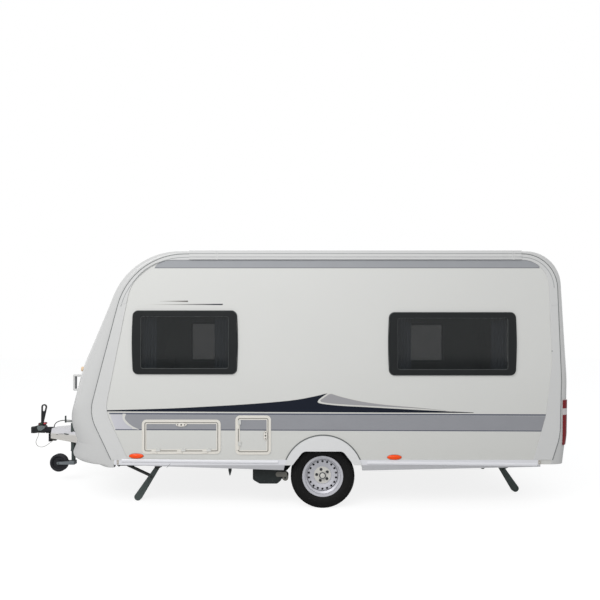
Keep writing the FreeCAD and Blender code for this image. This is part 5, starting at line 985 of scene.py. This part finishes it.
# Furniture, cushions and curtains
# Light veneered furniture, upholstered pads with crowned tops and sewn edges, and gathered
# curtains at the ends of the left windows.
veneer = finish("veneer", (178, 158, 132), 0.45, 0.12, 3, 0.0002, 300)
dress(veneer, "furniture")
locker_grey = finish("locker_grey", (170, 172, 174), 0.5, 0.05, 5, 0.0002, 300)
dress(locker_grey, "gas_bulkhead")
pad_cloth = finish("pad_cloth", (124, 128, 138), 0.85, 0.1, 40, 0.0008, 1600)
PAD_FOOT, PAD_TOP = 0.9044, 1.0244
pad_profile = [(0.40, 0.000), (0.060, 0.000), (0.016, 0.030), (0.006, 0.095), (0.0015, 0.120), (0.006, 0.145),
               (0.001, 0.30), (0.000, 0.45), (0.001, 0.62), (0.006, 0.745), (0.0015, 0.770), (0.006, 0.795),
               (0.018, 0.865), (0.045, 0.920), (0.090, 0.955), (0.160, 0.980), (0.26, 0.995), (0.40, 1.000)]


def pad(name, *ranges):
    """A crowned pad over two ranges, of X and of Y: loops of a rounded plan
    (a sign(c) |c|^0.3, b sign(s) |s|^0.3), pulled in between the corners by 1.5 percent, set in and raised
    by a side profile with a sewn edge at both rims."""
    turn = circle(120)
    pull = 1 - 0.015 * np.cos(2 * turn) ** 2
    plans = [np.sign(wave) * np.abs(wave) ** 0.3 * pull for wave in (np.cos(turn), np.sin(turn))]
    rows = []
    for inset, rise in pad_profile:
        row = [(low + high) / 2 + plan * ((high - low) / 2 - min(inset, 0.45 * (high - low)))
               for (low, high), plan in zip(ranges, plans)]
        rows.append(np.column_stack(row + [np.full(len(turn), PAD_FOOT + (PAD_TOP - PAD_FOOT) * rise)]))
    item = skin(name, np.stack(rows), "body", pad_cloth, caps=True)
    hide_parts("cushions")


pad("mattress", (-1.410, -0.460), (-1.100, 0.380))
pad("seat_pad_left", (1.170, 2.580), (-1.100, -0.500))
pad("seat_pad_right", (1.170, 2.580), (0.500, 1.100))
curtain_cloth = finish("curtain_cloth", (150, 160, 176), 0.8, 0.06, 30, 0.0004, 1400)
CURTAIN_WIDE, CURTAIN_Y, FOLDS, FOLD_DEEP, CLOTH = 0.150, -1.1076, 5, 0.0095, 0.0012
across, heights = np.linspace(0, 1, 81), np.linspace(1.2575, 1.9890, 17)
wave = FOLD_DEEP * np.sin(2 * math.pi * FOLDS * across)
for name, x_low in (("front_near", -1.228), ("front_far", -0.530), ("rear_near", 1.1915),
                    ("rear_far", 2.1015)):
    rows = []
    for height in heights:
        sway = 0.0010 * math.sin(9 * height)
        front = np.column_stack([x_low + CURTAIN_WIDE * across, CURTAIN_Y + wave + sway,
                                 np.full(len(across), height)])
        rows.append(np.vstack([front, front[::-1] + (0, CLOTH, 0)]))
    drape = skin("curtain_" + name, np.stack(rows), "body", curtain_cloth, caps=True)
    drape.data.set_sharp_from_angle(angle=math.radians(80))
    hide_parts("curtains")

# Entrance door
# The door in the right wall has a moulded handle in a round-cornered bowl, a lock barrel, a drip
# rail above it, sealing lips round its leaf and its glass, and a ribbed threshold.
handle_grey = finish("handle_grey", (98, 100, 102), 0.4, 0.06, 30, 0.0001, 700, shine=0.35)
DOOR_X, DOOR_MIDDLE, HANDLE_X, HANDLE_Z, SILL = -0.260, 1.329, -0.030, 1.190, 0.4890
leaf, leaf_grey = ("entrance_door", seal_and_shadow_grey, "wall_skin"), ("entrance_door", handle_grey, "wall_skin")
rim("door_lip", (DOOR_X, DOOR_MIDDLE, 0.598, 1.688, 0.060), 0.0002, 0.0032, leaf, 1)
rim("door_rim", (DOOR_X, DOOR_MIDDLE, 0.560, 1.650, 0.050), 0.0005, 0.0026,
    ("entrance_door", wall_white, "wall_skin"), 1, 0.5)
rim("door_frame_lip", (DOOR_X, DOOR_MIDDLE, 0.632, 1.722, 0.070), 0.0012, 0.0070, trim, 1, 0.55)
rim("door_glass_seal", (DOOR_X, 1.600, 0.392, 0.512, 0.045), 0.0015, 0.0050,
    ("entrance_door", seal_rubber, "window_frame"), 1)
plate_ring("handle_bowl", loop_corners(HANDLE_X, HANDLE_Z, 0.082, 0.150, 0.020),
           loop_corners(HANDLE_X, HANDLE_Z, 0.060, 0.126, 0.014), 1.1560, 1.1490, *leaf_grey)
tile("handle_grip", loop_corners(HANDLE_X, 1.196, 0.036, 0.108, 0.010), 1.1590, 1.1490, *leaf_grey)
disc("door_barrel", HANDLE_X, 1.1560, 1.134, 0.009, 0.004, 1, "entrance_door", bolt_dark, "wall_skin", 0.001)
bead("drip_rail", [(-0.620, 2.205), (-0.400, 2.212), (-0.100, 2.212), (0.100, 2.205)], 1.1540, 0.0060, *trim,
     closed=False)
for shift in (-0.0035, 0.0035):
    bead("threshold_rib_%d" % (shift > 0), [(x, SILL + shift) for x in (-0.540, DOOR_X, 0.020)], 1.1512,
         0.0016, *leaf, closed=False)

# Vents and service caps of the right wall
# Two refrigerator grilles with slats, and round caps with a raised rim, a lid and a lock. A dark
# bead under each slat is painted shade.
shade_and_lock_dark = ("body", lock_dark, "moulding")
for number, z in enumerate((0.760, 1.180)):
    for row, shift in enumerate(np.linspace(-0.056, 0.056, 8)):
        slat = [(x, z + shift) for x in (0.955, 1.080, 1.220, 1.345)]
        bead("vent_slat_%d_%d" % (number, row), slat, 1.1605, 0.0045, *trim, closed=False, flatten=0.7)
        # The dark bead under each slat is painted shade.
        slat_shade_line = [(x, z + shift - 0.008) for x in (0.957, 1.150, 1.343)]
        bead("vent_slat_shade_%d_%d" % (number, row), slat_shade_line, 1.1600, 0.0026, *shade_and_lock_dark, closed=False, flatten=0.3)
    rim("vent_rim_%d" % number, (1.150, z, 0.432, 0.152, 0.014), 0.0102, 0.0038, trim, 1)
for number, (x, z, radius) in enumerate(((-0.900, 0.640, 0.070), (-1.120, 0.640, 0.060),
                                         (2.050, 0.700, 0.070))):
    for name, share in (("rim", 0.93), ("lid", 0.62)):
        ring = oval(x, z, share * radius, share * radius, 56)
        bead("cap_%s_%d" % (name, number), ring, 1.1632, 0.0028, *trim, flatten=0.3)
    disc("cap_lock_%d" % number, x, 1.1600, z, 0.0110, 0.0036, 1, *shade_and_lock_dark)

# Nose
# A locker lid with push locks and a grip lip, a stiffening line over it and a grey sleeve on each
# grab handle. Each piece follows the moulded surface below it.
def face_tree(*names):
    """A search tree over the faces of CAD nodes."""
    places, faces = [], []
    for name in names:
        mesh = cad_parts[name].data
        faces += [[number + len(places) for number in face.vertices] for face in mesh.polygons]
        places += [tuple(vertex.co) for vertex in mesh.vertices]
    return BVHTree.FromPolygons(places, faces)


nose_tree, tail_tree = face_tree("nose_panel", "gas_lid", "nose_apron"), face_tree("tail_panel")


def nose_x(y, z):
    """X of the nose's outer face at a place, found by a ray from ahead."""
    return nose_tree.ray_cast((-4.0, y, z), (1, 0, 0))[0][0]


def tail_x(y, z):
    """X of the tail's outer face at a place, found by a ray from behind."""
    return tail_tree.ray_cast((4.0, y, z), (-1, 0, 0))[0][0]


LOCK_Y, LOCK_Z, GRIP_Z, CREASE_Z, SLEEVE_STAND = 0.560, 0.790, 0.730, 1.395, 0.0450
HANDLE_Y, HANDLE_MIDDLE = 0.860, 1.190
for side, side_name in SIDES:
    rows = [[(nose_x(side * LOCK_Y + 0.02 * math.cos(a), LOCK_Z + 0.02 * math.sin(a)) - reach,
              side * LOCK_Y + radius * math.cos(a), LOCK_Z + radius * math.sin(a)) for a in circle(28)]
            for reach, radius in ((-0.002, 0.026), (0.006, 0.026), (0.008, 0.023), (0.008, 0.012),
                                  (0.005, 0.010))]
    skin("lid_lock_" + side_name, np.array(rows), "gas_lid", handle_grey, caps=True)
grip = [(nose_x(y, GRIP_Z) - 0.003, y, GRIP_Z) for y in np.linspace(-0.260, 0.260, 15)]
hose("lid_grip", grip, 0.0060, "gas_lid", nose_white)
crease = [(nose_x(y, CREASE_Z) - 0.001, y, CREASE_Z) for y in np.linspace(-0.780, 0.780, 41)]
hose("nose_crease", crease, 0.0070, "body", nose_white)
for side, side_name in SIDES:
    sleeve = [(nose_x(side * HANDLE_Y, HANDLE_MIDDLE) - SLEEVE_STAND + 0.006 * (z - HANDLE_MIDDLE),
               side * HANDLE_Y, z) for z in np.linspace(1.128, 1.252, 3)]
    hose("handle_sleeve_" + side_name, sleeve, 0.0086, "body", handle_grey)

# Tail
# A ledge under the window and one over the bumper, two plate lamps over the number plate, and a red
# triangular reflector at each side.
for name, z in (("upper", 1.205), ("lower", 0.690)):
    ledge = [(tail_x(y, z) - 0.0055, y, z) for y in np.linspace(-0.900, 0.900, 41)]
    hose("tail_ledge_" + name, ledge, 0.0080, "body", nose_white)
LAMP_Y, LAMP_Z, MARK_Y, MARK_Z = 0.150, 0.672, 0.680, 0.560
for side, side_name in SIDES:
    out = tail_x(side * LAMP_Y, LAMP_Z)
    rows = [[(out + reach, side * LAMP_Y + half_y * cy, LAMP_Z + half_z * cz)
             for cy, cz in ((-1, -1), (1, -1), (1, 1), (-1, 1))]
            for reach, half_y, half_z in ((-0.003, 0.036, 0.012), (0.008, 0.036, 0.012),
                                          (0.010, 0.032, 0.008))]
    skin("plate_lamp_" + side_name, np.array(rows), "body", head_black, caps=True,
         smooth=False)
    corners = [(-0.075, -0.042), (0.075, -0.042), (0.0, 0.085)]
    rows = [[(tail_x(side * MARK_Y + y * share, MARK_Z + z * share) + reach, side * MARK_Y + y * share,
              MARK_Z + z * share) for y, z in corners]
            for reach, share in ((-0.002, 1.0), (0.006, 1.0), (0.008, 0.93))]
    skin("reflector_" + side_name, np.array(rows), "body", lens, caps=True, smooth=False)

# Roof lights
# Milky domes in a frame, with a rim and three ribs each.
milky = finish("milky_dome", (214, 217, 219), 0.28, 0.02, 5, 0.0002, 200, coat=0.2)
dress(milky, "rooflights")
RIM_HEIGHT, RIB_HEIGHT = 2.5150, 2.5515
for number, (x, long, wide) in enumerate(((-0.350, 0.700, 0.500), (1.700, 0.400, 0.400))):
    edge = loop_corners(x, 0.0, long + 0.058, wide + 0.058, 0.040)
    hose("dome_rim_%d" % number, np.column_stack([edge, np.full(len(edge), RIM_HEIGHT)]), 0.0060, "body",
         milky, closed=True)
    reach = wide / 2 - 0.02
    for rib, share in enumerate((-0.28, 0.0, 0.28)):
        rib_line = [(x + share * long, y, RIB_HEIGHT) for y in np.linspace(-reach, reach, 9)]
        hose("dome_rib_%d_%d" % (number, rib), rib_line, 0.0024, "body", milky)
